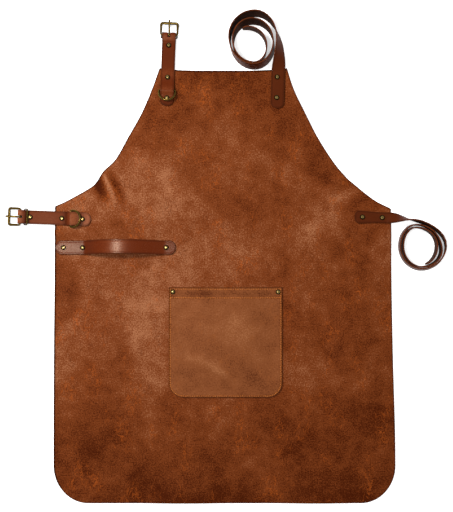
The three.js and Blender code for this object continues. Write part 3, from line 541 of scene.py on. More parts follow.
def pocket_outline(inset, spacing):
    """Places along the pocket's sides and bottom, inside its edge, and round its bottom corners."""
    left, right = POCKET_LEFT + inset, POCKET_RIGHT - inset
    bottom, radius = POCKET_BOTTOM + inset, POCKET_CORNER - inset
    path = [(left, HEM_SEAMS[0]), (left, bottom + radius)]
    for centre, start in ((left + radius, 180), (right - radius, 270)):
        for degrees in range(start, start + 91, 6):
            angle = math.radians(degrees)
            path.append((centre + radius * math.cos(angle), bottom + radius + radius * math.sin(angle)))
    path.append((right, HEM_SEAMS[0]))
    return even_places(np.array(path), spacing)


def run_along(path):
    """How far each place on a path is from its start."""
    return np.concatenate([[0], np.cumsum(np.linalg.norm(np.diff(path, axis=0), axis=1))])


def even_places(path, spacing):
    """Places at even distances along a path."""
    run = run_along(path)
    at = np.linspace(0, run[-1], max(2, round(run[-1] / spacing) + 1))
    return np.stack([np.interp(at, run, path[:, k]) for k in range(path.shape[1])], 1)


hem_ends = POCKET_LEFT + SEAM_INSET, POCKET_RIGHT - SEAM_INSET
seams = [pocket_outline(SEAM_INSET, STITCH_PITCH)]
seams += [even_places(np.array([(hem_ends[0], y), (hem_ends[1], y)]), STITCH_PITCH) for y in HEM_SEAMS]
seam_tree = KDTree(sum(len(seam) for seam in seams))
for k, place in enumerate(np.concatenate(seams)):
    seam_tree.insert((*place, 0.0), k)
seam_tree.balance()


def seam_distance(x, y):
    return np.array([seam_tree.find((a, b, 0.0))[2] for a, b in zip(x.ravel(), y.ravel())]).reshape(x.shape)


def pocket_top(x, y):
    """Height of the pocket's grain side."""
    side = np.minimum(x - POCKET_LEFT, POCKET_RIGHT - x)
    free = smooth((side - POCKET_SEAM) / POCKET_RISE)
    belly = POCKET_BELLY * smooth((y - POCKET_BOTTOM - POCKET_SEAM) / POCKET_FOOT_RISE)
    lift = free * (belly + long_bumps(POCKET_FOLDS, "height", x, y))
    groove = SEAM_GROOVE * np.exp(-((seam_distance(x, y) / SEAM_GROOVE_WIDTH) ** 2))
    return SEAT_TOP + GAP + POCKET_HEM_EXTRA + POCKET_WALL + lift - groove


pocket_straight = POCKET_BOTTOM + POCKET_CORNER
hem_end = POCKET_TOP - POCKET_HEM
pocket_rows = np.concatenate([
    np.linspace(POCKET_TOP, hem_end, POCKET_HEM_ROWS),
    np.linspace(hem_end, pocket_straight, round((hem_end - pocket_straight) / POCKET_CELL))[1:],
    pocket_straight - POCKET_CORNER * np.sin(np.linspace(0, math.pi / 2, POCKET_CORNER_ROWS)[1:]),
])
pocket_depth = np.maximum(pocket_straight - pocket_rows, 0)
pocket_inset = POCKET_CORNER - np.sqrt(np.maximum(POCKET_CORNER**2 - pocket_depth**2, 0))
share = np.linspace(0, 1, round((POCKET_RIGHT - POCKET_LEFT) / POCKET_CELL) + 1)
pocket_x = (POCKET_LEFT + pocket_inset)[:, None] + (
    POCKET_RIGHT - POCKET_LEFT - 2 * pocket_inset)[:, None] * share
pocket_y = np.repeat(pocket_rows[:, None], len(share), 1)
pocket_z = pocket_top(pocket_x, pocket_y)
hem_wall = POCKET_WALL + POCKET_HEM_EXTRA * smooth((pocket_y - hem_end) / POCKET_HEM_STEP + 1)
seam_gap = seam_distance(pocket_x, pocket_y)
# Pocket tone: its painted light patches, a darker hem band, and painted shade in the seam grooves
pocket_tone_and_painted_light = (long_bumps(POCKET_TONES_AND_PAINTED_LIGHT, "tone", pocket_x, pocket_y)
               - HEM_DARK * bump((pocket_y - sum(HEM_SEAMS) / 2) / HEM_DARK_REACH)
               - SEAM_SHADE * np.exp(-((seam_gap / SEAM_SHADE_REACH) ** 2)))
pocket_grain = hide_material(
    "pocket_grain", dark=shade(72, 30, 10), mid=shade(119, 66, 35), light=shade(150, 96, 61),
    scuff=shade(142, 78, 36), contrast=1.3, scuffs=0.35, rough=0.5, shine=0.07, cells=640.0, relief=0.30)
pocket_cut = flesh_material("pocket_cut", shade(104, 50, 22), shade(150, 84, 44))
pocket = panel_piece("pocket_patch", pocket_x, pocket_y, pocket_z - hem_wall, pocket_z, POCKET_BEVEL,
                     (pocket_grain, hide_flesh, pocket_cut), pocket_tone_and_painted_light)
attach(pocket, "apron")
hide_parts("pocket")

STITCH_SIDES = 6
STITCH_RINGS = ((-0.5, 0.15), (-0.36, 0.8), (0.0, 1.0), (0.36, 0.8), (0.5, 0.15))


def tube_faces(rings, sides):
    """Faces of a tube through rings of points, closed at both ends."""
    here = (np.arange(rings - 1) * sides)[:, None]
    there = here + sides
    k = np.arange(sides)[None]
    turn = (k + 1) % sides
    walls = np.stack([here + k, here + turn, there + turn, there + k], 2).reshape(-1, 4).tolist()
    last = (rings - 1) * sides
    return [*walls, list(range(sides))[::-1], list(range(last, last + sides))]


def stitch_row(places, level):
    """Points and faces of one short thread between each two places, sunk a little into the leather."""
    points, faces = [], []
    thread_faces = tube_faces(len(STITCH_RINGS), STITCH_SIDES)
    for first, second in zip(places, places[1:]):
        middle, along = (first + second) / 2, (second - first) / np.linalg.norm(second - first)
        across = np.array([-along[1], along[0]])
        base = len(points)
        for at, thick in STITCH_RINGS:
            for k in range(STITCH_SIDES):
                angle = 2 * math.pi * k / STITCH_SIDES
                spot = middle + along * at * STITCH_LENGTH + across * STITCH_RADIUS * thick * math.cos(angle)
                points.append((*spot, STITCH_RADIUS * thick * math.sin(angle)))
        faces += [[base + v for v in face] for face in thread_faces]
    points = np.array(points)
    points[:, 2] += level(points[:, 0], points[:, 1]) + STITCH_STANDS * STITCH_RADIUS
    return points, faces


thread, tree, surface = new_material("waxed_thread")
place = put(tree, "TexCoord").outputs["Object"]
twist = noise_node(tree, stretched(tree, place, 45, (2600, 700, 900)), 1.0, 2.0, 0.5)
wire(tree, tint(tree, ease(tree, twist, 0.35, 0.65), shade(178, 92, 30), shade(222, 136, 60)),
     surface.inputs["Base Color"])
surface.inputs["Roughness"].default_value = 0.6
give_relief(tree, surface, twist, 0.5, 0.0002)

stitch_points, stitch_faces = [], []
for seam in seams:
    points, faces = stitch_row(seam, pocket_top)
    stitch_faces += [tuple(v + len(stitch_points) for v in face) for face in faces]
    stitch_points += points.tolist()
stitch_points = np.array(stitch_points)
stitches = mesh_piece("pocket_stitches", stitch_points, stitch_faces, stitch_points[:, :2], {}, (thread,),
                      np.zeros(len(stitch_faces)))
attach(stitches, "apron")


# Tool loop
# One length of darker strap leather, riveted flat at its left end and its right, and arched off the hide
# between them so that a tool's handle goes through. Its edges are burnished, with a line creased beside each.
STRAP_WALL = 0.0024
STRAP_LEVEL = SEAT_TOP + GAP + STRAP_WALL / 2
STRAP_CORNER = 0.0006
CREASE_INSET, CREASE_DEPTH, CREASE_WIDTH = 0.0024, 0.00010, 0.0005
ROUND_END = np.radians((3, 8, 14, 21, 29, 38, 48, 59, 70, 80, 90))
ROUND_END_DEPTH, ROUND_END_RIM = 0.8, 0.0005
LOOP_WIDTH = 0.0252
LOOP_LEFT, LOOP_RIGHT, LOOP_Y = -0.301, -0.086, -0.052
LOOP_ARCH, LOOP_ARCH_LEFT, LOOP_ARCH_RIGHT, LOOP_SKEW, LOOP_BOW = 0.0155, -0.2465, -0.1090, 0.28, 0.0024
LOOP_STEPS = 110
LOOP_EASE, LOOP_EASE_STEPS = 0.005, 9
# Painted light along the loop (place, reach, tone): painted sheen at its left end, painted shade on the
# rising side of the arch, and a painted highlight near its top
LOOP_PAINTED_LIGHT = ((0.012, 0.030, 0.08), (0.062, 0.024, -0.20), (0.110, 0.034, 0.18))


def strap_section(width, wall):
    """Places round a strap's section: across it, up from its middle, and how far inside its edge."""
    half, deep = width / 2, wall / 2
    top = []
    for angle in (0, 30, 60, 90):
        a = math.radians(angle)
        across, up = STRAP_CORNER * math.cos(a), STRAP_CORNER * math.sin(a)
        top.append((half - STRAP_CORNER + across, deep - STRAP_CORNER + up))
    crease = half - CREASE_INSET
    top += [(crease + CREASE_WIDTH, deep), (crease, deep - CREASE_DEPTH), (crease - CREASE_WIDTH, deep)]
    top += [(half * share, deep) for share in (0.55, 0.25)]
    top += [(-across, up) for across, up in top[::-1]]
    under = [(-across, -up) for across, up in top if abs(abs(across) - crease) > 1e-9]
    section = np.array(top + under)
    return section, half - np.abs(section[:, 0]), len(top)


def strap_piece(name, centres, across, widths, materials, map_shift, painted_light_tones=()):
    """A strap along its centre line: grain on the side that its direction crossed with across faces."""
    along = np.gradient(centres, axis=0)
    along /= np.linalg.norm(along, axis=1)[:, None]
    side = across - along * np.sum(across * along, 1)[:, None]
    side /= np.linalg.norm(side, axis=1)[:, None]
    face = np.cross(along, side)
    full = widths.max()
    section, inside, grain_count = strap_section(full, STRAP_WALL)
    count = len(section)
    narrow = (widths / full)[:, None, None]
    rings = (centres[:, None] + side[:, None] * section[None, :, :1] * narrow
             + face[:, None] * section[None, :, 1:])
    run, girth = run_along(centres), run_along(section)
    uvs = np.stack([np.repeat(run, count), np.tile(girth, len(run))], 1) + map_shift
    faces = tube_faces(len(run), count)
    on_edge = np.zeros(count, int)
    on_edge[grain_count:] = 1
    on_edge[[0, 1, grain_count - 2, grain_count - 1, count - 1]] = 2
    on_edge[[grain_count, grain_count + 1, count - 2]] = 2
    kinds = np.concatenate([np.tile(on_edge, len(run) - 1), [2, 2]])
    end_gap = np.minimum(run, run[-1] - run)
    half = full / 2
    tip = np.clip((half - end_gap) / half, 0, 1)
    to_end = (half - np.abs(section[:, 0])[None]) * narrow[:, :, 0]
    to_end = np.where(tip[:, None] > 0, np.minimum(to_end, end_gap[:, None] + ROUND_END_RIM), inside[None])
    # Painted light along the strap: its tone rows lighten and darken it where highlights and shade fall
    tone = sum((amount * bump((run - at) / reach) for at, reach, amount in painted_light_tones), np.zeros(len(run)))
    values = {"inside": to_end.ravel(), "tone": np.repeat(tone, count)}
    return mesh_piece(name, rings.reshape(-1, 3), faces, uvs, values, materials, kinds)


def strap_material(name, dark, mid, light, rough, shine):
    """Grain side of smooth strap leather: an even dye with the painted highlights and painted shade of its
    tone values, a soft polish, and darker creased lines and edges.
    """
    material, tree, surface = new_material(name)
    place = leather_map(tree)
    dye_and_painted_light = use_group(tree, pull_up, Vector=place, Tone=point_value(tree, "tone"), Contrast=0.42, Scuffs=0.12,
                    Dark=dark, Mid=mid, Light=light, Scuff=light)
    inside = point_value(tree, "inside")
    off_line = calc(tree, "ABSOLUTE", calc(tree, "SUBTRACT", inside, CREASE_INSET))
    line = calc(tree, "MULTIPLY", ease(tree, off_line, 0.0011, 0.0002), 0.45)
    rim = calc(tree, "MULTIPLY", ease(tree, inside, 0.0018, 0.0003), 0.6)
    surface.inputs["Specular IOR Level"].default_value = shine
    surface.inputs["Specular Tint"].default_value = WARM_WAX
    colour = tint(tree, calc(tree, "MAXIMUM", line, rim), dye_and_painted_light["Color"], dark)
    wire(tree, colour, surface.inputs["Base Color"])
    wire(tree, ease(tree, dye_and_painted_light["Tone"], 0.2, 0.8, rough + 0.05, rough - 0.04), surface.inputs["Roughness"])
    height = use_group(tree, grain, Vector=place, Cells=1100.0)["Height"]
    give_relief(tree, surface, height, 0.16, 0.0004)
    return material


def round_ended(places, width, first=True, last=True):
    """Distances along a strap, closer at its rounded ends, and the strap's share of its width at each."""
    depth = ROUND_END_DEPTH * width / 2
    tips, shares = depth * (1 - np.cos(ROUND_END)), np.sin(ROUND_END)
    total = places[-1]
    keep = places[(places > (depth if first else -1)) & (places < total - (depth if last else -1))]
    run, share = [keep], [np.ones(len(keep))]
    if first:
        run, share = [tips, *run], [shares, *share]
    if last:
        run, share = [*run, total - tips[::-1]], [*share, shares[::-1]]
    return np.concatenate(run), np.concatenate(share)


strap_flesh = flesh_material("strap_flesh", shade(58, 30, 16), shade(86, 48, 28))
strap_edge = flesh_material("strap_edge", shade(30, 13, 6), shade(54, 25, 11))
loop_grain = strap_material(
    "loop_grain", shade(50, 16, 4), shade(86, 32, 9), shade(132, 66, 34), rough=0.26, shine=0.21)

run, share = round_ended(np.linspace(0, LOOP_RIGHT - LOOP_LEFT, LOOP_STEPS), LOOP_WIDTH)
loop_x = LOOP_LEFT + run
rise = np.zeros(len(loop_x))
for shift in np.linspace(-LOOP_EASE, LOOP_EASE, LOOP_EASE_STEPS):
    arch = np.clip((loop_x + shift - LOOP_ARCH_LEFT) / (LOOP_ARCH_RIGHT - LOOP_ARCH_LEFT), 0, 1)
    early = arch + LOOP_SKEW * arch * (1 - arch)
    rise += 4 * early * (1 - early) / LOOP_EASE_STEPS
loop_line = np.column_stack([loop_x, LOOP_Y + LOOP_BOW * rise, STRAP_LEVEL + LOOP_ARCH * rise])
loop = strap_piece("tool_loop_strap", loop_line, np.tile((0.0, 1.0, 0.0), (len(run), 1)), LOOP_WIDTH * share,
                   (loop_grain, strap_flesh, strap_edge), (1.3, 0.2), LOOP_PAINTED_LIGHT)
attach(loop, "apron")
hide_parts("tool_loop")


# Buckle straps
# Two short straps of one pattern, at the neck and at the waist. Each lies over a D-ring's bar in a hump, is
# riveted on both sides of it, and at its far end is folded back round a buckle's bar and clamped by a rivet.
STRAP_WIDTH = 0.0246
GROUND_GAP = 0.0001
EDGE_RIVET_AT, LEAVES_AT = 0.0515, 0.068
BUCKLE_RIVET_AT, BUCKLE_BAR_AT, FLAP_END_AT = 0.1082, 0.1267, 0.101
RIVET_PINCH, MOUTH_AT, MOUTH_OPENING, MOUTH_RISE = 0.0047, 0.1166, 0.0055, 0.0003
SLOT_WIDTH, SLOT_LENGTH, SLOT_START, SLOT_CUT = 0.0042, 0.020, 0.1221, 0.06
SLOT_FACES = ((0, 1, 3, 2), (4, 6, 7, 5), (0, 4, 5, 1), (2, 3, 7, 6), (0, 2, 6, 4), (1, 5, 7, 3))
FRAME_WIRE, FRAME_HALF_WIDTH, FRAME_REACH, FRAME_CORNER = 0.0020, 0.0148, 0.0208, 0.0032
FRAME_FLATTENED, FLATTENED_FROM = 0.25, 0.005
PRONG_WIRE, PRONG_REACH, EYE_RADIUS, EYE_BORE, EYE_WIDTH = 0.0014, 0.0270, 0.0038, 0.0024, 0.0030
PRONG_FLATTENED = 1.25
KEEPER_WIRE, KEEPER_HALF_WIDTH, KEEPER_HEIGHT, KEEPER_CORNER = 0.0012, 0.014, 0.0082, 0.002
KEEPER_LEAN = math.radians(50)
RING_WIRE, RING_HALF_WIDTH, RING_ARM, RING_REACH, RING_CORNER = 0.0018, 0.0146, 0.005, 0.0188, 0.0022
RING_TILT = math.radians(18)
HUMP, HUMP_LEAD = 2 * RING_WIRE + GAP, 1.3
SPAN_STEPS, BEND_STEPS, BUCKLE_STRAP_STEP = 8, 13, 0.0011
WIRE_SIDES, CORNER_STEPS, SIDE_STEPS, RING_ARC_STEPS = 14, 6, 12, 30
# Each strap's tone rows (place along it, reach, and amount) are mostly painted light: painted highlights on
# the hump, the rounded end and the fold, painted shade beside the hump, and on the waist strap the keeper's
# painted shadow
BUCKLE_STRAPS = (
    {
        "name": "neck", "hump_before": 0.010, "hump_after": 0.016, "rivet_height": 0.0054,
        "frame_end_height": 0.0076, "keeper_at": 0.1213, "keeper_behind": True, "map": (2.1, 0.4),
        "dark": shade(46, 15, 4), "mid": shade(84, 32, 10), "light": shade(126, 66, 36),
        "painted_light_tones": ((0.000, 0.014, -0.25), (0.024, 0.018, 0.18), (0.060, 0.016, 0.14), (0.088, 0.024, -0.08),
                  (0.124, 0.012, 0.22)),
    },
    {
        "name": "waist", "hump_before": 0.013, "hump_after": 0.010, "rivet_height": 0.0044,
        "frame_end_height": 0.0021, "keeper_at": 0.1192, "keeper_behind": False, "map": (2.6, 0.9),
        "dark": shade(52, 18, 6), "mid": shade(91, 38, 15), "light": shade(144, 82, 52),
        "painted_light_tones": ((0.004, 0.020, 0.22), (0.031, 0.013, 0.26), (0.045, 0.010, -0.32), (0.085, 0.030, 0.08),
                  (0.116, 0.009, -0.50), (0.130, 0.009, 0.28)),
    },
)
joint_place = {joint["name"]: Vector(joint["pos_m"]) for joint in frame["joints"]}


def through(points, spacing):
    """A smooth line through points, with places at an even spacing."""
    points = np.asarray(points, float)
    before = np.vstack([2 * points[0] - points[1], points[:-1]])[:-1]
    after = np.vstack([points[2:], 2 * points[-1] - points[-2]])
    line = []
    for p0, p1, p2, p3 in zip(before, points[:-1], points[1:], after):
        t = np.linspace(0, 1, SPAN_STEPS, endpoint=False)[:, None]
        line.append(0.5 * (2 * p1 + (p2 - p0) * t + (2 * p0 - 5 * p1 + 4 * p2 - p3) * t**2
                           + (3 * p1 - p0 - 3 * p2 + p3) * t**3))
    return even_places(np.vstack([*line, points[-1:]]), spacing)


def mouth_middle(strap, bar_height, at):
    t = min(max((at - MOUTH_AT) / (BUCKLE_BAR_AT - MOUTH_AT), 0), 1)
    low = strap["rivet_height"] + MOUTH_RISE
    return low + (bar_height - low) * t


def buckle_strap_line(strap, bar_height, ring_at):
    """The folded strap's middle line in its own frame: x from its rounded end and z above the floor."""
    pinch = (STRAP_WALL + GAP) / 2
    turn = FRAME_WIRE + GAP + STRAP_WALL / 2
    line = [(0.0, STRAP_LEVEL), (ring_at - HUMP_LEAD * strap["hump_before"], STRAP_LEVEL)]
    for t in np.linspace(-1, 1, BEND_STEPS):
        reach = strap["hump_before"] if t < 0 else strap["hump_after"]
        line.append((ring_at + reach * t, STRAP_LEVEL + HUMP * (1 + math.cos(math.pi * t)) / 2))
    line += [(EDGE_RIVET_AT, STRAP_LEVEL), (LEAVES_AT, STRAP_LEVEL)]
    bends = [
        (BUCKLE_RIVET_AT - RIVET_PINCH, strap["rivet_height"], pinch),
        (BUCKLE_RIVET_AT + RIVET_PINCH, strap["rivet_height"], pinch),
        (MOUTH_AT, mouth_middle(strap, bar_height, MOUTH_AT), MOUTH_OPENING / 2),
    ]
    line += [(x, z + apart) for x, z, apart in bends]
    for degrees in np.linspace(90, -90, BEND_STEPS):
        angle = math.radians(degrees)
        line.append((BUCKLE_BAR_AT + turn * math.cos(angle), bar_height + turn * math.sin(angle)))
    line += [(x, z - apart) for x, z, apart in bends[::-1]]
    line.append((FLAP_END_AT, strap["rivet_height"] - pinch))
    return through(line, BUCKLE_STRAP_STEP)


def arc(x, y, radius_x, radius_y, start, end, steps):
    angles = np.radians(np.linspace(start, end, steps + 1))
    return np.stack([x + radius_x * np.cos(angles), y + radius_y * np.sin(angles)], 1)


def round_rectangle(length, half_width, corner):
    inner = half_width - corner
    return np.concatenate([
        arc(length - corner, inner, corner, corner, 0, 90, CORNER_STEPS),
        arc(corner, inner, corner, corner, 90, 180, CORNER_STEPS),
        np.linspace((0, inner), (0, -inner), SIDE_STEPS)[1:-1],
        arc(corner, -inner, corner, corner, 180, 270, CORNER_STEPS),
        arc(length - corner, -inner, corner, corner, 270, 360, CORNER_STEPS),
        np.linspace((length, -inner), (length, inner), SIDE_STEPS)[1:-1],
    ])


def ring_outline():
    inner = RING_HALF_WIDTH - RING_CORNER
    return np.concatenate([
        arc(RING_CORNER, -inner, RING_CORNER, RING_CORNER, 180, 270, CORNER_STEPS),
        arc(RING_ARM, 0, RING_REACH - RING_ARM, RING_HALF_WIDTH, -90, 90, RING_ARC_STEPS),
        arc(RING_CORNER, inner, RING_CORNER, RING_CORNER, 90, 180, CORNER_STEPS),
        np.linspace((0, inner), (0, -inner), SIDE_STEPS)[1:-1],
    ])


def wire_loop(path, radius, flattened=0.0):
    """Points and faces of a round wire bent to a flat closed path, and flattened away from its bar."""
    along = np.roll(path, -1, 0) - np.roll(path, 1, 0)
    along /= np.linalg.norm(along, axis=1)[:, None]
    out = np.stack([along[:, 1], -along[:, 0]], 1)
    broad = 1 + flattened * smooth((path[:, 0] - FLATTENED_FROM) / FLATTENED_FROM)
    angles = 2 * math.pi * (np.arange(WIRE_SIDES) + 0.5) / WIRE_SIDES
    points = np.concatenate([
        (path[:, None] + (out * broad[:, None])[:, None] * radius * np.cos(angles)[None, :, None]),
        np.broadcast_to(radius * np.sin(angles)[None, :, None], (len(path), WIRE_SIDES, 1)),
    ], 2).reshape(-1, 3)
    here = (np.arange(len(path)) * WIRE_SIDES)[:, None]
    there = (np.roll(np.arange(len(path)), -1) * WIRE_SIDES)[:, None]
    k = np.arange(WIRE_SIDES)[None]
    turn = (k + 1) % WIRE_SIDES
    faces = np.stack([here + k, there + k, there + turn, here + turn], 2).reshape(-1, 4)
    return points, faces.tolist()


def lathe(profile, sides):
    """Points and faces of a profile of radius and height turned round the z axis, closed at both ends."""
    angles = 2 * math.pi * np.arange(sides) / sides
    rings = [np.column_stack([r * np.cos(angles), r * np.sin(angles), np.full(sides, z)]) for r, z in profile]
    return np.concatenate(rings), tube_faces(len(profile), sides)


# Antique brass: dark oxide left in the hollows, with painted shade on the undersides of the wires and round
# the rims of the caps, rubbed bright on what stands out
brass_patina, given, made = node_group(
    "brass_patina", (("Vector", "Vector"), ("Hollow", "Float"), ("Bright", "Color"), ("Oxide", "Color")),
    (("Color", "Color"), ("Oxide", "Float")))
stain = noise_node(brass_patina, given["Vector"], 420.0, 4.0, 0.65, 0.4)
tarnish_and_shade = calc(brass_patina, "ADD", given["Hollow"], calc(brass_patina, "SUBTRACT", stain, 0.5))
oxide_and_shade = ease(brass_patina, tarnish_and_shade, 0.02, 0.75)
wire(brass_patina, tint(brass_patina, oxide_and_shade, given["Bright"], given["Oxide"]), made["Color"])
wire(brass_patina, oxide_and_shade, made["Oxide"])


def brass_material(name, bright, oxide_and_shade, rough):
    """Antique brass of one polish."""
    material, tree, surface = new_material(name)
    place = put(tree, "TexCoord").outputs["Object"]
    patina = use_group(tree, brass_patina, Vector=place, Hollow=point_value(tree, "darkening"),
                       Bright=bright, Oxide=oxide_and_shade)
    wire(tree, patina["Color"], surface.inputs["Base Color"])
    wire(tree, ease(tree, patina["Oxide"], 0.0, 1.0, 1.0, 0.35), surface.inputs["Metallic"])
    wire(tree, ease(tree, patina["Oxide"], 0.0, 1.0, rough, 0.60), surface.inputs["Roughness"])
    surface.inputs["Specular IOR Level"].default_value = 0.05
    surface.inputs["Specular Tint"].default_value = (0.35, 0.25, 0.10, 1.0)
    scratch = noise_node(tree, stretched(tree, place, 20, (2200, 500, 900)), 1.0, 2.0, 0.5)
    give_relief(tree, surface, scratch, 0.08, 0.0002)
    return material


antique_brass = brass_material("antique_brass", shade(140, 112, 54), shade(22, 16, 6), rough=0.26)


def brass_piece(name, points, faces, darkening, node, body, brass=antique_brass):
    """A brass piece that stands for its node, with how much each point is darkened by oxide and painted
    shade.
    """
    piece = mesh_piece(name, points, faces, points[:, :2], {"darkening": darkening}, (brass,), np.zeros(len(faces)))
    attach(piece, body)
    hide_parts(node)
    return piece


def placed(points, matrix):
    return points @ np.array(matrix.to_3x3()).T + np.array(matrix.translation)


def prong_mesh():
    """Prong in the frame of the buckle's bar: an eye that wraps the bar and a tapered rod along x."""
    rings = [(0.0031, 0.8), (0.005, 1.0), (0.013, 1.0), (FRAME_REACH, 1.0), (0.0235, 0.98), (0.0252, 0.86),
             (0.0261, 0.6), (PRONG_REACH, 0.2)]
    rod, rod_faces = lathe([(PRONG_WIRE * thick, at) for at, thick in rings], WIRE_SIDES)
    rod = rod[:, [2, 0, 1]] * (1, PRONG_FLATTENED, 1)
    eye_path = arc(0, 0, (EYE_RADIUS + EYE_BORE) / 2, (EYE_RADIUS + EYE_BORE) / 2, 0, 360, 28)[:-1]
    wall, half = (EYE_RADIUS - EYE_BORE) / 2, EYE_WIDTH / 2
    section = [(wall, -0.7 * half), (wall, 0.7 * half), (0.6 * wall, half), (-0.6 * wall, half),
               (-wall, 0.7 * half), (-wall, -0.7 * half), (-0.6 * wall, -half), (0.6 * wall, -half)]
    eye, eye_faces = [], []
    for k, (x, z) in enumerate(eye_path):
        radial = np.array([x, 0, z]) / math.hypot(x, z)
        eye += [np.array([x, 0, z]) + radial * r + np.array([0, w, 0]) for r, w in section]
        there = ((k + 1) % len(eye_path)) * len(section)
        for j in range(len(section)):
            turn = (j + 1) % len(section)
            eye_faces.append([k * len(section) + j, k * len(section) + turn, there + turn, there + j])
    faces = rod_faces + [[v + len(rod) for v in face] for face in eye_faces]
    return np.concatenate([rod, eye]), faces


for strap in BUCKLE_STRAPS:
    name = strap["name"]
    bar, ring_bar = joint_place[f"{name}_buckle_swing"], joint_place[f"{name}_ring_swing"]
    along = Vector((bar.x - ring_bar.x, bar.y - ring_bar.y, 0)).normalized()
    here = Matrix.Translation((bar.x, bar.y, 0)) @ along.to_track_quat("X", "Z").to_matrix().to_4x4()
    here = here @ Matrix.Translation((-BUCKLE_BAR_AT, 0, 0))
    ring_at = BUCKLE_BAR_AT - (bar.xy - ring_bar.xy).length

    line = buckle_strap_line(strap, bar.z, ring_at)
    length = float(np.sum(np.linalg.norm(np.diff(line, axis=0), axis=1)))
    run, share = round_ended(np.linspace(0, length, len(line)), STRAP_WIDTH, last=False)
    middle_x, middle_z = (np.interp(run, run_along(line), line[:, k]) for k in range(2))
    middle = np.column_stack([middle_x, np.zeros(len(run)), middle_z])
    across = np.tile(np.array(here.to_3x3() @ Vector((0, 1, 0))), (len(run), 1))
    strap_grain = strap_material(
        f"{name}_strap_grain", strap["dark"], strap["mid"], strap["light"], rough=0.38, shine=0.09)
    leather = strap_piece(f"{name}_buckle_leather", placed(middle, here), across, STRAP_WIDTH * share,
                          (strap_grain, strap_flesh, strap_edge), strap["map"], strap["painted_light_tones"])
    slot_half = np.array([SLOT_LENGTH, SLOT_WIDTH, SLOT_CUT]) / 2
    cutter_mesh = bpy.data.meshes.new("slot")
    signs = [(x, y, z) for x in (-1, 1) for y in (-1, 1) for z in (-1, 1)]
    middle_of_slot = np.array([SLOT_START + SLOT_LENGTH / 2, 0, 0])
    slot_corners = placed(np.array(signs) * slot_half + middle_of_slot, here)
    cutter_mesh.from_pydata(slot_corners.tolist(), [], SLOT_FACES)
    cutter = bpy.data.objects.new("slot", cutter_mesh)
    bpy.context.scene.collection.objects.link(cutter)
    cut = leather.modifiers.new("slot", "BOOLEAN")
    cut.object = cutter
    cut.operation = "DIFFERENCE"
    cut.solver = "EXACT"
    bpy.context.view_layer.update()
    cut_mesh = bpy.data.meshes.new_from_object(leather.evaluated_get(bpy.context.evaluated_depsgraph_get()))
    leather.modifiers.clear()
    leather.data = cut_mesh
    bpy.data.objects.remove(cutter)
    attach(leather, "apron")
    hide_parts(f"{name}_buckle_strap")

    frame_tilt = math.asin((bar.z - strap["frame_end_height"]) / FRAME_REACH)
    at_bar = here @ Matrix.Translation((BUCKLE_BAR_AT, 0, bar.z))
    frame_path = round_rectangle(FRAME_REACH, FRAME_HALF_WIDTH, FRAME_CORNER)
    points, faces = wire_loop(frame_path, FRAME_WIRE, FRAME_FLATTENED)
    # Oxide and painted shade: the frame's wire darkens on its underside
    darkening = np.clip(0.75 - points[:, 2] / FRAME_WIRE * 0.5, 0, 1)
    at_frame = at_bar @ Matrix.Rotation(frame_tilt, 4, "Y")
    brass_piece(f"{name}_buckle_frame_brass", placed(points, at_frame), faces, darkening,
                f"{name}_buckle_frame", f"{name}_frame")

    prong_rest = strap["frame_end_height"] + FRAME_WIRE + GAP + PRONG_WIRE
    prong_tilt = math.asin((bar.z - prong_rest) / FRAME_REACH)
    points, faces = prong_mesh()
    # Oxide and painted shade: the prong darkens on its underside
    darkening = np.clip(0.7 - points[:, 2] / PRONG_WIRE * 0.45, 0, 1)
    at_prong = at_bar @ Matrix.Rotation(prong_tilt, 4, "Y")
    brass_piece(f"{name}_buckle_prong_brass", placed(points, at_prong), faces, darkening,
                f"{name}_buckle_prong", f"{name}_prong")

    nipped = mouth_middle(strap, bar.z, strap["keeper_at"])
    lean = -(math.pi / 2 + KEEPER_LEAN)
    if strap["keeper_behind"]:
        lean = math.asin((nipped - KEEPER_WIRE - GROUND_GAP) / KEEPER_HEIGHT)
    at_keeper = here @ Matrix.Translation((strap["keeper_at"], 0, nipped)) @ Matrix.Rotation(lean, 4, "Y")
    points, faces = wire_loop(round_rectangle(KEEPER_HEIGHT, KEEPER_HALF_WIDTH, KEEPER_CORNER), KEEPER_WIRE)
    # Oxide and painted shade: the keeper darkens towards its lower bar
    darkening = np.clip(1.0 - points[:, 0] / KEEPER_HEIGHT * 0.5, 0, 1)
    brass_piece(f"{name}_keeper_brass", placed(points, at_keeper), faces, darkening, f"{name}_keeper", "apron")

    ring_turn = Matrix.Rotation(math.pi + RING_TILT, 4, "Y")
    at_ring = here @ Matrix.Translation((ring_at, 0, ring_bar.z)) @ ring_turn
    points, faces = wire_loop(ring_outline(), RING_WIRE)
    # Oxide and painted shade: the ring is turned over, so this darkens its underside
    darkening = np.clip(0.45 + points[:, 2] / RING_WIRE * 0.5, 0, 1)
    brass_piece(f"{name}_d_ring_brass", placed(points, at_ring), faces, darkening,
                f"{name}_d_ring", f"{name}_ring")


